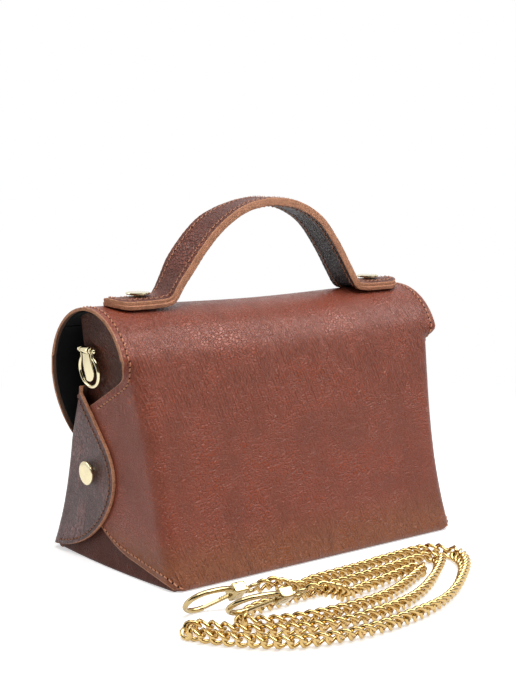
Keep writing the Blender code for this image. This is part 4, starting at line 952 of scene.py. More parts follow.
def clasp_end(spot):
    """Where the chain meets a clasp's swivel, and the direction in which it leaves."""
    matrix = clasp_matrix(spot)
    end = matrix @ Vector((-SWIVEL_REACH - SWIVEL_EYE - SWIVEL_WIRE - GAP, 0.0, 0.0))
    return end, (matrix.to_3x3() @ Vector((-1.0, 0.0, 0.0))).normalized()


def chain_line():
    """The chain's middle line, from the first clasp to the second."""
    start, away = clasp_end(CLASP_SPOTS["first"])
    stop, back = clasp_end(CLASP_SPOTS["second"])
    floor = [Vector((x, y, CHAIN_Z)) for x, y in CHAIN_ROUTE]
    rise = [Vector(point) for point in CHAIN_RISE]
    middle = spline([start + away * CHAIN_STRAIGHT] + floor + rise + [stop + back * CHAIN_STRAIGHT], 4)
    return [start, start + away * CHAIN_LEAD] + middle + [stop + back * CHAIN_LEAD, stop]


def curb_link(wire, pitch, width, twist):
    """One curb link: a ring drawn out to an oval and twisted about its length."""
    link, ring = bmesh.new(), 0.01
    section = bmesh.ops.create_circle(
        link, cap_ends=False, segments=6, radius=wire / 2.0,
        matrix=Matrix.Translation((ring, 0.0, 0.0)) @ Matrix.Rotation(math.pi / 2.0, 4, "X"))["verts"]
    bmesh.ops.spin(
        link, geom=section + link.edges[:], cent=(0.0, 0.0, 0.0), axis=(0.0, 0.0, 1.0), angle=math.tau, steps=16,
        use_merge=True, use_duplicate=False)
    half_long, half_wide = (pitch + wire) / 2.0, (width - wire) / 2.0
    for vert in link.verts:
        angle = math.atan2(vert.co.y, vert.co.x)
        out = math.hypot(vert.co.x, vert.co.y) - ring
        centre = Vector((half_long * math.cos(angle), half_wide * math.sin(angle), 0.0))
        normal = Vector((half_wide * math.cos(angle), half_long * math.sin(angle), 0.0)).normalized()
        point = centre + normal * out
        turn = twist * clamp(point.x / half_long, -1.2, 1.2)
        vert.co = Matrix.Rotation(turn, 3, "X") @ Vector((point.x, point.y, vert.co.z))
    bmesh.ops.recalc_face_normals(link, faces=link.faces)
    return link


def lane_roll(point):
    """How far up on its edge the chain stands at a place, in radians."""
    wave = noise.noise(Vector((point.x * 28.0, point.y * 28.0, 1.7)))
    return math.radians(56.0 + 16.0 * wave)


class HANDBAG_OT_chain(bpy.types.Operator):
    """Makes the curb chain that lies folded behind the bag, a link at a time"""

    bl_idname = "handbag.chain"
    bl_label = "Chain strap"

    def execute(self, context):
        size = sizes()
        line = chain_line()
        link = curb_link(size.link_wire, size.link_pitch, size.link_width, LINK_TWIST)
        pattern = bpy.data.meshes.new("link")
        link.to_mesh(pattern)
        link.free()
        spots = evenly(line, CHAIN_STEP)
        total = measured(line)[-1]
        count = round(total / size.link_pitch)
        chain = bmesh.new()
        for n in range(count):
            k = min(len(spots) - 1, int((n + 0.5) * total / count / CHAIN_STEP))
            point = spots[k]
            along = (spots[min(len(spots) - 1, k + 7)] - spots[max(0, k - 7)]).normalized()
            side = along.cross(Vector((0.0, 0.0, 1.0))).normalized()
            up = side.cross(along)
            roll = math.copysign(lane_roll(point), -along.x)
            wide = side * math.cos(roll) + up * math.sin(roll)
            deep = along.cross(wide)
            matrix = Matrix.Translation(point) @ Matrix((along, wide, deep)).transposed().to_4x4()
            start = len(chain.verts)
            chain.from_mesh(pattern)
            chain.verts.ensure_lookup_table()
            fresh = chain.verts[start:]
            bmesh.ops.transform(chain, matrix=matrix, verts=fresh)
            low = min(vert.co.z for vert in fresh)
            if low < CHAIN_REST or point.z < CHAIN_Z + 0.0004:
                bmesh.ops.translate(chain, vec=(0.0, 0.0, CHAIN_REST - low), verts=fresh)
        bpy.data.meshes.remove(pattern)
        piece = finished(chain, "curb_chain", [gold_finish("chain_gold", 0.07, (0.60, 0.42, 0.17))])
        placed(piece, "chain", "gold", "chain")
        tuple(line[0])
        [tuple(point) for point in line]
        return {"FINISHED"}


# The clasps


def hook_line():
    """The hook's middle line, from the block round to the nose."""
    shares = [
        (0.75, 0.42), (1.30, 0.62), (2.10, 0.72), (2.75, 0.66), (3.25, 0.36), (3.45, -0.12), (3.35, -0.60),
        (2.95, -0.98), (2.45, -1.12), (2.00, -1.06),
    ]
    return [Vector((x * BLOCK_HEIGHT, y * BLOCK_HEIGHT, 0.0)) for x, y in shares]


def rounded_block(low, high, rounding, materials, name):
    block = bmesh.new()
    size = Matrix.Diagonal((*(Vector(high) - Vector(low)), 1.0))
    bmesh.ops.create_cube(block, size=1.0, matrix=Matrix.Translation((Vector(low) + Vector(high)) / 2.0) @ size)
    bevelled(block, block.edges[:], rounding)
    return finished(block, name, materials, 50)


class HANDBAG_OT_clasps(bpy.types.Operator):
    """Makes the two trigger clasps: hook, block, sprung gate and swivel eye"""

    bl_idname = "handbag.clasps"
    bl_label = "Trigger clasps"

    def execute(self, context):
        gold = gold_finish("clasp_gold", 0.10, (0.46, 0.35, 0.17))
        for label, spot in CLASP_SPOTS.items():
            matrix = clasp_matrix(spot)
            top = BLOCK_LOW + BLOCK_HEIGHT
            half = BLOCK_WIDTH / 2.0
            hook = swept("hook", spline(hook_line(), 8), round_section(HOOK_WIRE, 12, 1.1), [gold])
            block = rounded_block((GAP, BLOCK_LOW, -half), (BLOCK_LENGTH, top, half), 0.0007, [gold], "block")
            dimples = []
            for face in (1.0, -1.0):
                place = Matrix.Translation((BLOCK_LENGTH * 0.52, BLOCK_LOW + BLOCK_HEIGHT / 2.0, face * half))
                place = place @ Matrix.Diagonal((1.0, 1.25, face, 1.0))
                profile = [
                    (0.0, 0.00012), (0.0009, 0.00005), (0.0014, 0.0), (0.0018, 0.00022), (0.0021, 0.0001),
                    (0.0022, -0.0002),
                ]
                dimples.append(turned("dimple", profile, [gold], place, 24))
            body = joined(f"trigger_clasp_hook_{label}", [hook, block] + dimples)
            body.data.transform(matrix)
            placed(body, f"{label}_clasp", "gold", f"clasp_hook_{label}")

            hinge = Vector((BLOCK_LENGTH * HINGE_ALONG, BLOCK_LOW + HINGE_UP, 0.0))
            nose = hook_line()[-1] + Vector((-0.0004, 0.0002, 0.0))
            section = band_section(GATE_WIDTH, GATE_DEPTH, 0.0004)
            bar = swept("bar", [hinge, hinge.lerp(nose, 0.5), nose], section, [gold])
            eye = tube("gate_eye", GATE_PIN, GATE_EYE, GATE_EYE_HALF, [gold], Matrix.Translation(hinge), 20)
            coil = []
            reach = hinge.lerp(nose, 0.52) + Vector((0.0, 0.0020, 0.0))
            start = hinge + Vector((-0.0002, 0.0022, 0.0))
            for share in spaced(0.0, 1.0, 72):
                angle = math.tau * SPRING_TURNS * share
                around = Vector((0.0, math.cos(angle), math.sin(angle))) * SPRING_RADIUS
                coil.append(start.lerp(reach, share) + around)
            spring = swept("spring", coil, round_section(SPRING_WIRE, 6), [gold], up=Vector((0.3, 0.9, 0.2)))
            gate = joined(f"trigger_clasp_gate_{label}", [bar, eye, spring])
            gate.data.transform(matrix)
            placed(gate, f"{label}_gate", "gold", f"clasp_gate_{label}")

            end = half + PIN_PROUD
            pin = turned(
                f"trigger_clasp_pin_{label}", [(0.0, end), (GATE_PIN, end), (GATE_PIN, -end), (0.0, -end)], [gold],
                matrix @ Matrix.Translation(hinge), 20, 0.0001)
            placed(pin, f"{label}_clasp", "gold", f"gate_pin_{label}")

            eye_line = [Vector((x - SWIVEL_REACH, y, 0.0)) for x, y in round_section(SWIVEL_EYE, 32, 1.05)]
            ring = swept("eye", eye_line, round_section(SWIVEL_WIRE, 12), [gold], closed=True)
            along = Matrix.Rotation(math.pi / 2.0, 4, "Y")
            collar = turned(
                "collar",
                [(0.0, -0.0034), (0.0013, -0.0034), (0.0021, -0.0028), (0.0021, -0.0016), (0.0015, -0.0013),
                 (0.0015, -0.0009), (0.0020, -0.0006), (0.0020, 0.0002), (0.0, 0.0002)],
                [gold], along, 28)
            swivel = joined(f"trigger_clasp_swivel_{label}", [ring, collar])
            swivel.data.transform(matrix)
            placed(swivel, "chain", "gold", f"clasp_swivel_{label}")
        return {"FINISHED"}


# The leather pieces


class HANDBAG_OT_main_leather(bpy.types.Operator):
    """Makes the leather that runs up the back, over the top and down the flap, with its stitching"""

    bl_idname = "handbag.main_leather"
    bl_label = "Back, top and flap"

    def execute(self, context):
        grain, edge = main_leather(), raw_edge_finish("cut_edge", colours().raw_edge)
        suede = suede_finish("inner_side")
        corner = TUCK_LENGTH + KEYHOLE_CORNER_Z - TUCK_RADIUS
        back = spaced(0.0, TUCK_LENGTH, 7)[:-1] + spaced(TUCK_LENGTH, corner, 66)[:-1]
        back += spaced(corner, BACK_LENGTH, 8)[:-1]
        arch = spaced(BACK_LENGTH, HINGE_LENGTH, 40)[:-1]
        flap = spaced(HINGE_LENGTH + 1.0, HINGE_LENGTH + 2.0, 44)

        def surface(share, length):
            top_reach = reach_of(share, corner_start(HEIGHT), TOP_LENGTH / 2.0)
            if length > HINGE_LENGTH + 0.5:
                down = length - HINGE_LENGTH - 1.0
                return main_at(top_reach, lerp(HINGE_LENGTH, flap_end(top_reach), down))
            if length >= BACK_LENGTH:
                angle = BACK_ANGLE + (length - BACK_LENGTH) / ARCH_RADIUS
                z = arch_point(min(angle, math.pi / 2.0))[1]
                end = back_wing_end(z) if angle < math.pi / 2.0 else TOP_LENGTH / 2.0
                return main_at(reach_of(share, corner_start(z), end), length)
            z = tucked(length)[1]
            return main_at(reach_of(share, corner_start(z), back_wing_end(z)), length)

        leather = leather_sheet(
            "main_leather", spread_columns(34, 26), back + arch + flap, surface, [grain, edge, suede], LEATHER,
            flip=True)
        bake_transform(leather)
        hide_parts("back_and_top_panel", "flap")

        inset = sizes().seam_inset
        runs = []
        for side in (1.0, -1.0):
            outline = []
            for z in spaced(SEAM_FOOT_Z, BACK_TOP_Z, 90)[:-1]:
                outline.append((back_wing_end(z), TUCK_LENGTH + z - TUCK_RADIUS))
            for length in spaced(BACK_LENGTH, HINGE_LENGTH, 59):
                angle = min(math.pi / 2.0, BACK_ANGLE + (length - BACK_LENGTH) / ARCH_RADIUS)
                outline.append((back_wing_end(arch_point(angle)[1]), length))
            for angle in spaced(math.pi / 2.0, 0.0, 119)[1:]:
                reach = TOP_LENGTH / 2.0 * math.sin(angle) ** FLAP_FULL
                outline.append((reach, flap_end(reach)))
            moved = seam_line(outline, inset)
            moved = [p for p in moved if p.x > -0.0001]
            moved = tidy_line(moved, outline, inset * 0.96)
            runs.append((main_at, [Vector((side * p.x, p.y)) for p in moved], -1.0))
            low = spaced(corner_start(0.004) + 0.002, BACK_WING_GIRTH - 0.002, 59)
            runs.append((main_at, [Vector((side * reach, FOOT_SEAM)) for reach in low], -1.0))
        thread = stitches("main_stitching", runs, thread_finish("sewing_thread", colours().thread))
        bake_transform(thread)
        return {"FINISHED"}


def tidy_line(line, outline, least):
    """Drops the points of an inset line that lie too near the outline, round inner corners."""
    flat = [Vector(p) for p in outline]
    kept = []
    for point in line:
        if min((point - other).length for other in flat) >= least:
            if not kept or (point - kept[-1]).length > 0.0002:
                kept.append(point)
    return kept


class HANDBAG_OT_front_panel(bpy.types.Operator):
    """Makes the front panel and its two stitched lobes"""

    bl_idname = "handbag.front_panel"
    bl_label = "Front panel"

    def execute(self, context):
        def creased(look):
            return look.ramp(look.height(), 0.11, 0.02, 0.55, 1.0)
        # The front panel's colour is the main leather darkened: painted shade on the ends where its lobes lap round
        grain = leather_finish(
            "wing_leather", colours().wing, cells=(520.0, 560.0, 300.0), grain=0.00075, crease=0.0006, rough=0.34,
            creased=creased, ridges=150.0, turn=(math.radians(-16), 0.0, 0.0), dark=0.95, pale=0.45, shine=0.62,
            border=0.0008, coat=0.15)
        # The raw edge's tan lightened by a quarter: a painted highlight along the lobes' cut edges
        edge = raw_edge_finish("front_cut_edge", scaled(colours().raw_edge, 1.25))
        suede = suede_finish("front_inner_side")
        top = TUCK_LENGTH + FRONT_TOP_Z - TUCK_RADIUS
        rows = spaced(0.0, TUCK_LENGTH, 7)[:-1] + spaced(TUCK_LENGTH, top, 70)

        def surface(share, length):
            start = corner_start(tucked(length)[1], FRONT_WING_X, FRONT_CORNER)
            return front_at(reach_of(share, start, front_end(length)), length)

        panel = leather_sheet(
            "front_panel_leather", spread_columns(30, 24), rows, surface, [grain, edge, suede], LEATHER, even=False)
        placed(panel, "bag", "leather", "front_panel")

        inset = sizes().seam_inset
        runs = []
        for side in (1.0, -1.0):
            outline = [(front_end(length), length) for length in spaced(0.0004, top - 0.0005, 119)]
            moved = tidy_line(seam_line(outline, inset * 0.9), outline, inset * 0.86)
            moved = [p for p in moved if 0.003 < p.y < top - 0.003]
            runs.append((front_at, [Vector((side * p.x, p.y)) for p in moved], 1.0))
        mouth = [Vector((x, top - inset)) for x in spaced(-FRONT_SEAM_HALF, FRONT_SEAM_HALF, 60)]
        runs.append((front_at, mouth, 1.0))
        thread = stitches("front_stitching", runs, thread_finish("dark_thread", scaled(colours().thread, 0.45)))
        placed(thread, "bag", "leather")
        return {"FINISHED"}


def gusset_front(z):
    """Where the gusset's front edge lies at a height."""
    inner = front_y(min(z, FRONT_TOP_Z)) + LEATHER + SLACK
    if z <= FRONT_TOP_Z:
        return inner
    return lerp(inner, GUSSET_EDGE_TOP_Y, (z - FRONT_TOP_Z) / (HEIGHT - FRONT_TOP_Z))


def gusset_back(z):
    """Where the gusset's back edge lies at a height, inside the back's corner."""
    inside, over = BACK_CORNER - LEATHER - SLACK * 2.0, BACK_CORNER - BACK_WING_X
    return back_y(min(z, BACK_TOP_Z)) - BACK_CORNER + math.sqrt(inside ** 2 - over ** 2)


def gusset_top(share):
    """How high the gusset reaches under the arch, at a share of its width."""
    inner = ARCH_RADIUS - LEATHER - SLACK * 0.5
    low, high = TAB_HEIGHT, HEIGHT
    for _ in range(40):
        middle = (low + high) / 2.0
        y = lerp(gusset_front(middle), gusset_back(middle), share)
        inside = middle < ARCH_CENTRE_Z or math.hypot(y - ARCH_CENTRE_Y, middle - ARCH_CENTRE_Z) < inner
        low, high = (middle, high) if inside else (low, middle)
    return low


class HANDBAG_OT_gussets(bpy.types.Operator):
    """Makes the dark gussets that close the two ends"""

    bl_idname = "handbag.gussets"
    bl_label = "Gussets"

    def execute(self, context):
        def creased(look):
            return look.ramp(look.height(), 0.09, 0.14, 0.5, 1.0)
        grain = leather_finish(
            "gusset_leather", colours().gusset, cells=(420.0, 420.0, 700.0), grain=0.0006, crease=0.0010, rough=0.30,
            creased=creased, ridges=110.0, turn=(math.radians(70), 0.0, 0.0), dark=0.75, pale=0.5, shine=0.32)
        edge = raw_edge_finish("gusset_cut_edge", scaled(colours().raw_edge, 0.7))
        for label, side in ENDS:
            def surface(share, down):
                foot = BASE_CORNER + GAP + TUCK_RADIUS * abs(2.0 * share - 1.0) ** 6
                z = lerp(foot, gusset_top(share), down)
                pucker = PUCKER * noise.noise(Vector((share * 5.0, z * 190.0, side)))
                pucker *= ease((z - 0.095) / 0.03) * ease(share * 8.0) * ease((1.0 - share) * 8.0)
                return Vector((side * (end_x(z) + pucker - 0.0002), lerp(gusset_front(z), gusset_back(z), share), z))

            panel = leather_sheet(
                f"gusset_leather_{label}", spaced(0.0, 1.0, 30), spaced(0.0, 1.0, 60), surface, [grain, edge], LEATHER,
                flip=side < 0.0, rounding=0.0)
            placed(panel, "bag", "gusset_leather", f"gusset_{label}")
        return {"FINISHED"}


class HANDBAG_OT_base(bpy.types.Operator):
    """Makes the base, whose two ends turn up under the wings"""

    bl_idname = "handbag.base"
    bl_label = "Base"

    def execute(self, context):
        # The base is the main leather darkened to a third, and its cut edge is darkened too: painted shade under the
        # bag and its wings
        grain = leather_finish(
            "base_leather", scaled(colours().leather, 0.34), cells=(600.0,) * 3, grain=0.0002, crease=0.0004,
            rough=0.30, shine=0.15)
        edge = raw_edge_finish("base_cut_edge", scaled(colours().raw_edge, 0.6))
        half = BASE_DEPTH / 2.0 - TUCK_RADIUS - TUCK_FLAT - GAP
        stations = []
        for z in spaced(TAB_HEIGHT, BASE_CORNER, 9):
            width = lerp(TAB_HALF_FOOT, TAB_HALF_TOP, (z - BASE_CORNER) / (TAB_HEIGHT - BASE_CORNER))
            stations.append((end_x(z) + TAB_X, z, width))
        corner_x = end_x(BASE_CORNER) + TAB_X - BASE_CORNER
        for angle in spaced(0.0, math.pi / 2.0, 10)[1:]:
            stations.append((
                corner_x + BASE_CORNER * math.cos(angle), BASE_CORNER * (1.0 - math.sin(angle)), TAB_HALF_FOOT))
        for share in spaced(0.0, 1.0, 6)[1:]:
            stations.append((corner_x - BASE_TAPER * share, 0.0, lerp(TAB_HALF_FOOT, half, ease(share))))
        stations += [(x, 0.0, half) for x in spaced(corner_x - BASE_TAPER, 0.0, 8)[1:]]
        stations += [(-x, z, width) for x, z, width in reversed(stations[:-1])]

        def surface(share, k):
            x, z, width = stations[k]
            bulge = BASE_BULGE * (1.0 - share ** 2) * clamp(1.0 - z / BASE_BULGE_Z) ** 2
            bulge *= clamp((abs(x) - corner_x + BASE_TAPER) / BASE_TAPER)
            return Vector((x + math.copysign(bulge, x), width * share, z))

        panel = leather_sheet(
            "base_leather", spaced(-1.0, 1.0, 32), range(len(stations)), surface, [grain, edge], LEATHER, flip=True)
        placed(panel, "bag", "leather", "base_panel")
        return {"FINISHED"}


class HANDBAG_OT_linings(bpy.types.Operator):
    """Makes the black cloth inside the bag and behind the flap"""

    bl_idname = "handbag.linings"
    bl_label = "Linings"

    def execute(self, context):
        cloth = lining_finish()
        layer = LEATHER + SLACK
        section = [(front_y(z) + layer, z) for z in spaced(FRONT_TOP_Z - LEATHER, TUCK_RADIUS, 40)[:-1]]
        for y, inwards, turns in (
            (front_y(TUCK_RADIUS) + layer, TUCK_RADIUS, range(1, 10)),
            (back_y(TUCK_RADIUS) - layer, -TUCK_RADIUS, range(9, 0, -1)),
        ):
            for i in turns:
                angle = math.radians(10 * i)
                section.append((y + inwards * (1.0 - math.cos(angle)), layer + TUCK_RADIUS * (1.0 - math.sin(angle))))
        section += [(back_y(z) - layer, z) for z in spaced(layer + TUCK_RADIUS, BACK_TOP_Z, 39)]
        section += [arch_point(angle, layer) for angle in spaced(BACK_ANGLE, HINGE_ANGLE - HINGE_EASE, 30)[1:]]

        def inside(share, k):
            y, z = section[k]
            half = corner_start(z)
            if z > BACK_TOP_Z:
                top = arch_point(math.pi / 2.0)[1] - layer
                spread = ease((z - BACK_TOP_Z) / (top - BACK_TOP_Z) * 2.5)
                half = lerp(half, TOP_LENGTH / 2.0 - LEATHER, spread if y > ARCH_CENTRE_Y else 1.0)
            return sunk(half * share, y, z)

        body = leather_sheet(
            "body_cloth", spaced(-1.0, 1.0, 48), range(len(section)), inside, [cloth], LINING, flip=True, rounding=0.0)
        placed(body, "bag", "lining", "body_lining")

        def behind(share, down):
            half = TOP_LENGTH / 2.0 - LEATHER
            reach = half * math.copysign(abs(math.sin(share * math.pi / 2.0)) ** FLAP_FULL, share)
            drop = (FLAP_DROP - LEATHER) * math.cos(share * math.pi / 2.0) ** FLAP_FULL
            end_z = FLAP_CENTRE_Z - drop
            radius = ARCH_RADIUS - layer
            first = HINGE_ANGLE + HINGE_EASE
            if end_z >= ARCH_CENTRE_Z:
                last = math.pi - math.asin(min(1.0, (end_z - ARCH_CENTRE_Z) / radius))
                y, z = arch_point(lerp(first, last, down), layer)
            else:
                arc, hang = radius * (math.pi - first), ARCH_CENTRE_Z - end_z
                travel = down * (arc + hang)
                if travel < arc:
                    y, z = arch_point(first + travel / radius, layer)
                else:
                    z = ARCH_CENTRE_Z - (travel - arc)
                    y = flap_y(z) + layer
            return sunk(reach, y, z)

        flap = leather_sheet(
            "flap_cloth", spaced(-1.0, 1.0, 80), spaced(0.0, 1.0, 36), behind, [cloth], LINING, flip=True, rounding=0.0)
        placed(flap, "flap", "lining", "flap_lining")
        return {"FINISHED"}


# The handle


def handle_profile():
    """The underside of the strap from its right tip to its left one."""
    peak = HANDLE_RISE - 2.0 * STRIP - GAP
    half = [
        (1.000, 0.000), (0.950, 0.000), (0.900, 0.000), (0.850, 0.000), (0.785, 0.000), (0.725, 0.003),
        (0.690, 0.009), (0.660, 0.022), (0.634, 0.052), (0.604, 0.115), (0.561, 0.230), (0.512, 0.384),
        (0.455, 0.537), (0.388, 0.691), (0.326, 0.800), (0.250, 0.889), (0.190, 0.938), (0.130, 0.973),
        (0.035, 1.000),
    ]
    points = []
    for sign, table in ((1.0, half), (-1.0, half[::-1])):
        for x_share, z_share in table:
            lean = HANDLE_BOW * z_share - HANDLE_LEAN * z_share ** 2
            points.append(Vector((sign * FOOT_TIP * x_share + lean, 0.0, HANDLE_BASE_Z + peak * z_share)))
    return spline(points, 8)


HANDLE_LINE = handle_profile()
HANDLE_LENGTHS = measured(HANDLE_LINE)
HANDLE_TOTAL = HANDLE_LENGTHS[-1]


def handle_at(across, length, lift=0.0):
    """A point of the strap: across it, along it from the right tip, and up off its underside."""
    length = clamp(length, 0.0, HANDLE_TOTAL)
    k, share = spot_at(HANDLE_LENGTHS, length)
    ahead, behind = HANDLE_LINE[min(len(HANDLE_LINE) - 1, k + 2)], HANDLE_LINE[max(0, k - 1)]
    along = (ahead - behind).normalized()
    up = Vector((along.z, 0.0, -along.x))
    point = HANDLE_LINE[k].lerp(HANDLE_LINE[k + 1], share)
    droop = HANDLE_DROOP * (across / HANDLE_WIDTH * 2.0) ** 2 * ease((HANDLE_BASE_Z + 0.012 - point.z) / 0.010)
    twist = HANDLE_TWIST * ease((point.x - 0.012) / 0.030) * ease((point.z - HANDLE_BASE_Z - 0.006) / 0.016)
    point = point + up * (lift - across * twist)
    return Vector((point.x, HANDLE_Y + across, point.z - droop))


class HANDBAG_OT_handle(bpy.types.Operator):
    """Makes the top handle: two straps sewn back to back, with raw edges and stitching"""

    bl_idname = "handbag.handle"
    bl_label = "Handle"

    def execute(self, context):
        # The strap's grain side is the main leather darkened: painted shade on the handle
        grain = leather_finish(
            "handle_leather", scaled(colours().leather, 0.62), cells=(400.0,) * 3, grain=0.0009, crease=0.0006,
            rough=0.36, ridges=150.0, dark=0.60, pale=0.4, border=0.0006)
        dark = leather_finish(
            "handle_underside", (0.034, 0.024, 0.027), cells=(420.0,) * 3, grain=0.0008, crease=0.0005, rough=0.34)
        edge = raw_edge_finish("strap_cut_edge", scaled(colours().raw_edge, 1.05))
        radius, upper_side = HANDLE_WIDTH / 2.0, STRIP * 2.0 + 0.00002
        tip = spaced(0.0, radius, 12)[:-1]
        middle = spaced(radius, HANDLE_TOTAL - radius, 150)
        rows = tip + middle + [HANDLE_TOTAL - row for row in reversed(tip)]
        shares = spaced(-1.0, 1.0, 24)

        def strap(lift):
            def surface(share, length):
                from_tip = min(length, HANDLE_TOTAL - length)
                near = clamp(1.0 - from_tip / radius)
                width = radius * math.sqrt(1.0 - near ** 2 / 2.0)
                if near:
                    from_tip = radius * (1.0 - near * math.sqrt(1.0 - share ** 2 / 2.0))
                    length = from_tip if length < radius else HANDLE_TOTAL - from_tip
                free = ease((from_tip - 0.02) / 0.02)
                scallop = SCALLOP * math.cos(length / SCALLOP_LENGTH * math.tau) * free
                ripple = RIPPLE * noise.noise(Vector((length * 160.0, share * 1.2, 3.0))) * free
                return handle_at(share * (width + scallop), length, lift + ripple)
            return surface

        upper = leather_sheet(
            "handle_top_strap", shares, rows, strap(upper_side), [grain, edge, edge], STRIP, rounding=0.0006)
        lower = leather_sheet(
            "handle_under_strap", shares, rows, strap(0.0), [dark, edge, edge], STRIP, flip=True, rounding=0.0005)
        inset = sizes().seam_inset * 0.85
        inner = radius - inset

        def top(across, length):
            return handle_at(across, length, upper_side)

        outline = [
            Vector((inner * math.sin(angle), radius - inner * math.cos(angle)))
            for angle in spaced(-math.pi / 2.0, math.pi / 2.0, 24)
        ]
        far = [Vector((p.x, HANDLE_TOTAL - p.y)) for p in reversed(outline)]
        loop = outline + far + [outline[0]]
        runs = [(top, loop, -1.0), (handle_at, loop, 1.0)]
        thread = stitches("handle_stitching", runs, thread_finish("handle_thread", scaled(colours().thread, 0.8)))
        for piece, nodes, slot in (
            (upper, ("handle_outer_strip", "handle_outer_foot_left", "handle_outer_foot_right"), "leather"),
            (lower, ("handle_inner_strip", "handle_inner_foot_left", "handle_inner_foot_right"), "dark_leather"),
            (thread, (), "leather"),
        ):
            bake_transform(piece)
            if nodes:
                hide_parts(*nodes)
        return {"FINISHED"}


# Studs, rings and snap


def refinished(name, finish):
    """Gives a CAD node that stays in view a better material."""
    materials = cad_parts[name].data.materials
    materials.clear()
    materials.append(finish)


def end_slope(z):
    """How steeply the bag's ends lean out at a height."""
    return math.atan(2.0 * END_FLARE * (z - WAIST_HEIGHT) / (HEIGHT - WAIST_HEIGHT) ** 2)


class HANDBAG_OT_studs(bpy.types.Operator):
    """Makes the flat-headed studs of the handle and the wings, and their caps inside"""

    bl_idname = "handbag.studs"
    bl_label = "Studs"

    def execute(self, context):
        gold = gold_finish("stud_gold", 0.13)
        head, neck_radius, post = 0.0069, 0.0034, 0.0017
        for label, side in ENDS:
            lean = Matrix.Rotation(side * (math.pi / 2.0 + end_slope(WING_STUD_Z)), 4, "Y")
            wing = Matrix.Translation((side * (end_x(WING_STUD_Z) + FRONT_WING_X), WING_STUD_Y, WING_STUD_Z)) @ lean
            top = Matrix.Translation((side * HANDLE_STUD_X, HANDLE_Y, HANDLE_BASE_Z + STRIP * 2.0 + GAP))
            for kind, matrix, neck, thick, depth in (
                ("handle", top, 0.0006, 0.0014, 0.0120),
                ("wing", wing, 0.0020, 0.0022, FRONT_WING_X + LEATHER + 0.0015),
            ):
                face = neck + thick
                profile = [
                    (0.0, face), (head * 0.6, face - 0.00003), (head - 0.0005, face - 0.00012),
                    (head - 0.0001, face - 0.0003), (head, face - 0.0006), (head, neck + 0.0005),
                    (head - 0.0003, neck + 0.0001), (head - 0.0008, neck), (neck_radius, neck), (neck_radius, 0.0),
                    (post, 0.0), (post, -depth), (0.0, -depth),
                ]
                piece = turned(f"{kind}_stud_{label}_gold", profile, [gold], matrix, 56)
                placed(piece, "bag", "gold", f"{kind}_stud_{label}")
                refinished(f"{kind}_stud_{label}_cap", gold)
        return {"FINISHED"}


def ring_frame(side):
    """Places a ring fitting on its gusset, square to the leaning end."""
    out = end_x(PIN_Z) + GAP * 2.0 + BARREL_RADIUS
    turn = Matrix.Rotation(end_slope(PIN_Z), 4, "Y")
    if side < 0.0:
        turn = Matrix.Rotation(math.pi, 4, "Z") @ turn
    return Matrix.Translation((side * out, RING_Y, PIN_Z)) @ turn


class HANDBAG_OT_rings(bpy.types.Operator):
    """Makes the ring fitting of each gusset: tongue plate, ball-ended pin and ring"""

    bl_idname = "handbag.rings"
    bl_label = "Side rings"

    def execute(self, context):
        gold = gold_finish("ring_gold", 0.06)
        for label, side in ENDS:
            matrix = ring_frame(side)
            tongue = bmesh.new()
            middle = PLATE_FOOT - PLATE_LENGTH
            rim = [
                (-PLATE_FOOT * math.cos(angle), middle - PLATE_FOOT * math.sin(angle))
                for angle in spaced(0.0, math.pi, 24)
            ]
            side_line = [
                (lerp(PLATE_FOOT, PLATE_TOP, ease(share)), lerp(middle, 0.0, share)) for share in (0.25, 0.5, 0.75, 1.0)
            ]
            rim += side_line + [(-y, z) for y, z in reversed(side_line)]
            verts = [tongue.verts.new((PLATE_OUT, y, z)) for y, z in rim]
            face = tongue.faces.new(verts)
            made = bmesh.ops.extrude_face_region(tongue, geom=[face])["geom"]
            moved = [item for item in made if isinstance(item, bmesh.types.BMVert)]
            bmesh.ops.translate(tongue, vec=(PLATE, 0.0, 0.0), verts=moved)
            bmesh.ops.recalc_face_normals(tongue, faces=tongue.faces)
            bevelled(tongue, sharp_edges(tongue, 1.0), 0.0002, segments=2)
            plate = finished(tongue, "tongue", [gold], 40)
            along = Matrix.Rotation(math.pi / 2.0, 4, "X")
            barrel = tube("barrel", PIN_BORE, BARREL_RADIUS, BARREL_HALF, [gold], along, 36, 0.0002)
            plate = joined(f"ring_tongue_{label}", [plate, barrel])
            plate.data.transform(matrix)
            balls = [
                (BALL_RADIUS * math.sin(angle), PIN_HALF + BALL_RADIUS * math.cos(angle))
                for angle in spaced(0.0, math.radians(136), 8)
            ]
            balls += [(radius, -height) for radius, height in reversed(balls)]
            pin = turned(f"ring_pin_{label}_gold", balls, [gold], matrix @ along, 32)
            opening = math.asin(RING_ARM / RING_RADIUS)
            points = [(-RING_ARM, 0.0), (-RING_ARM, RING_ARM_FOOT)]
            for angle in spaced(math.pi / 2.0 + opening, math.pi * 2.5 - opening, 40):
                points.append((RING_RADIUS * math.cos(angle), RING_RADIUS * math.sin(angle) - RING_DROP))
            points += [(RING_ARM, RING_ARM_FOOT), (RING_ARM, 0.0)]
            points = [Vector((0.0, y, z)) for y, z in points]
            hoop = swept("hoop", points, round_section(RING_WIRE, 16), [gold], up=Vector((1.0, 0.0, 0.0)))
            eyes = []
            for sign in (1.0, -1.0):
                spot = Matrix.Translation((0.0, sign * RING_ARM, 0.0))
                eyes.append(tube("eye", PIN_BORE, RING_EYE, RING_EYE_HALF, [gold], spot @ along, 28, 0.0002))
            ring = joined(f"ring_{label}_gold", [hoop] + eyes)
            ring.data.transform(matrix)
            for piece, body, node in (
                (plate, "bag", f"ring_plate_{label}"), (pin, "bag", f"ring_pin_{label}"),
                (ring, f"{label}_ring", f"ring_{label}"),
            ):
                placed(piece, body, "gold", node)
        for name in ("snap_cup", "snap_boss"):
            refinished(name, gold)
        return {"FINISHED"}


# The stage


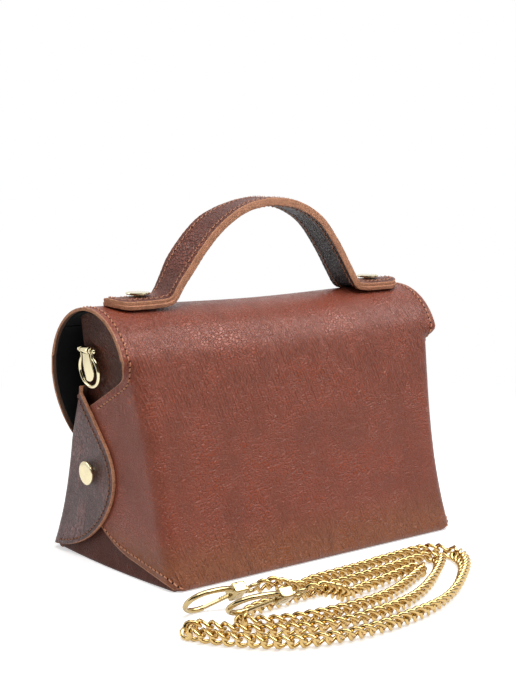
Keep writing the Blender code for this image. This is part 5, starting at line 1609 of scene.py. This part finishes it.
class HANDBAG_OT_stage(bpy.types.Operator):
    """Sets the camera, the soft studio light and the white floor"""

    bl_idname = "handbag.stage"
    bl_label = "Stage"

    def execute(self, context):
        scene = context.scene
        flat = math.cos(CAMERA_PITCH)
        forward = Vector((math.cos(CAMERA_YAW) * flat, math.sin(CAMERA_YAW) * flat, -math.sin(CAMERA_PITCH)))
        lens = bpy.data.cameras.new("camera")
        lens.sensor_fit = "VERTICAL"
        lens.sensor_height = SENSOR
        lens.lens = LENS
        lens.clip_start = 0.01
        camera = bpy.data.objects.new("camera", lens)
        camera.location = CAMERA_SPOT
        camera.rotation_euler = forward.to_track_quat("-Z", "Y").to_euler()
        scene.collection.objects.link(camera)
        scene.camera = camera

        for name, spot, target, size, power in (
            ("overhead_softbox", (0.15, 0.45, 1.15), (0.0, 0.0, 0.06), (1.1, 0.9), 13.2),
            ("left_softbox", (1.05, -0.70, 0.42), (0.0, 0.0, 0.08), (0.6, 0.8), 2.5),
            ("right_softbox", (-0.60, 0.95, 0.75), (0.0, 0.0, 0.10), (0.9, 0.6), 2.0),
            ("sheen_card", (-0.62, 0.62, 1.00), (0.0, 0.0, 0.13), (1.1, 0.7), 16.0),
        ):
            lamp = bpy.data.lights.new(name, "AREA")
            lamp.shape = "RECTANGLE"
            lamp.size, lamp.size_y = size
            lamp.energy = power
            lamp.color = (0.88, 0.94, 1.0) if name == "left_softbox" else (1.0, 1.0, 1.0)
            light = bpy.data.objects.new(name, lamp)
            light.location = spot
            light.visible_diffuse = name != "sheen_card"
            light.rotation_euler = (Vector(target) - Vector(spot)).to_track_quat("-Z", "Y").to_euler()
            scene.collection.objects.link(light)

        world = bpy.data.worlds.new("studio")
        scene.world = world
        sky = Nodes(world)
        background = sky.tree.nodes["Background"]
        background.inputs["Color"].default_value = (1.0, 1.0, 1.0, 1.0)
        sky.link(sky.ramp(sky.in_view(), 0.0, 1.0, SKY_FILL, 1.0, "LINEAR"), background.inputs["Strength"])

        floor = bmesh.new()
        bmesh.ops.create_circle(floor, cap_ends=True, segments=96, radius=FLOOR_RADIUS)
        look = Finish("pale_floor")
        where = look.node("ShaderNodeVectorMath", {0: look.place}, operation="LENGTH").outputs["Value"]
        far = look.ramp(where, *FLOOR_FADE)
        shade = look.blend(look.noise(4.0, 2.0), (0.90, 0.90, 0.90), (0.93, 0.93, 0.93))
        look.done(shade, 0.9, Specular_IOR_Level=0.1)
        seen = look.in_view()
        glow = look.node("ShaderNodeEmission", {"Strength": look.maths("MULTIPLY", seen, FLOOR_GLOW)}).outputs[0]
        lit = look.node("ShaderNodeAddShader")
        look.link(look.shader.outputs[0], lit.inputs[0])
        look.link(glow, lit.inputs[1])
        white = look.node("ShaderNodeEmission", {"Strength": look.maths("MAXIMUM", seen, FLOOR_FILL)}).outputs[0]
        mix = look.node("ShaderNodeMixShader", {"Fac": far})
        look.link(lit.outputs[0], mix.inputs[1])
        look.link(white, mix.inputs[2])
        look.link(mix.outputs[0], look.tree.nodes["Material Output"].inputs["Surface"])
        plane = finished(floor, "floor", [look.material])

        # A dark card behind the camera, seen only in reflections, keeps the leather and metal from looking pale
        flag = bmesh.new()
        for inner, depth in ((CARD_RADIUS, CARD_HEIGHT), (CARD_INNER, 0.01)):
            bmesh.ops.create_cone(
                flag, cap_ends=False, segments=96, radius1=inner, radius2=CARD_RADIUS, depth=depth,
                matrix=Matrix.Translation((0.0, 0.0, 0.01 + depth / 2.0)))
        behind = [
            vert for vert in flag.verts
            if abs(math.remainder(math.atan2(vert.co.y, vert.co.x) - CARD_FACING, math.tau)) > CARD_REACH
        ]
        bmesh.ops.delete(flag, geom=behind, context="VERTS")
        cloth = Finish("dark_card")
        cloth.done(cloth.blend(cloth.noise(3.0, 2.0), (0.045, 0.036, 0.030), (0.060, 0.050, 0.042)), 0.95)
        card = finished(flag, "dark_card", [cloth.material])
        card.visible_camera = card.visible_diffuse = card.visible_shadow = card.visible_transmission = False

        scene.view_settings.view_transform = "Standard"
        return {"FINISHED"}


class HANDBAG_PT_panel(bpy.types.Panel):
    """Lists the handbag's settings and the steps that make it"""

    bl_idname = "HANDBAG_PT_panel"
    bl_label = "Handbag"
    bl_space_type = "VIEW_3D"
    bl_region_type = "UI"
    bl_category = "Handbag"

    def draw(self, context):
        layout = self.layout
        for settings in (context.scene.handbag_sizes, context.scene.handbag_colours):
            for name in settings.bl_rna.properties.keys():
                if name not in ("rna_type", "name"):
                    layout.prop(settings, name)
        for step in STEPS:
            layout.operator(step.bl_idname)


STEPS = (
    HANDBAG_OT_stage, HANDBAG_OT_clasps, HANDBAG_OT_chain, HANDBAG_OT_main_leather, HANDBAG_OT_front_panel,
    HANDBAG_OT_gussets, HANDBAG_OT_base, HANDBAG_OT_linings, HANDBAG_OT_handle, HANDBAG_OT_studs, HANDBAG_OT_rings,
)
CLASSES = (HandbagSizes, HandbagColours) + STEPS + (HANDBAG_PT_panel,)


def register():
    for made in CLASSES:
        bpy.utils.register_class(made)
    bpy.types.Scene.handbag_sizes = bpy.props.PointerProperty(type=HandbagSizes)
    bpy.types.Scene.handbag_colours = bpy.props.PointerProperty(type=HandbagColours)


def unregister():
    del bpy.types.Scene.handbag_colours
    del bpy.types.Scene.handbag_sizes
    for made in reversed(CLASSES):
        bpy.utils.unregister_class(made)


def main():
    register()
    for step in STEPS:
        group, name = step.bl_idname.split(".")
        getattr(getattr(bpy.ops, group), name)()
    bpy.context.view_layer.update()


if __name__ == "__main__":
    main()
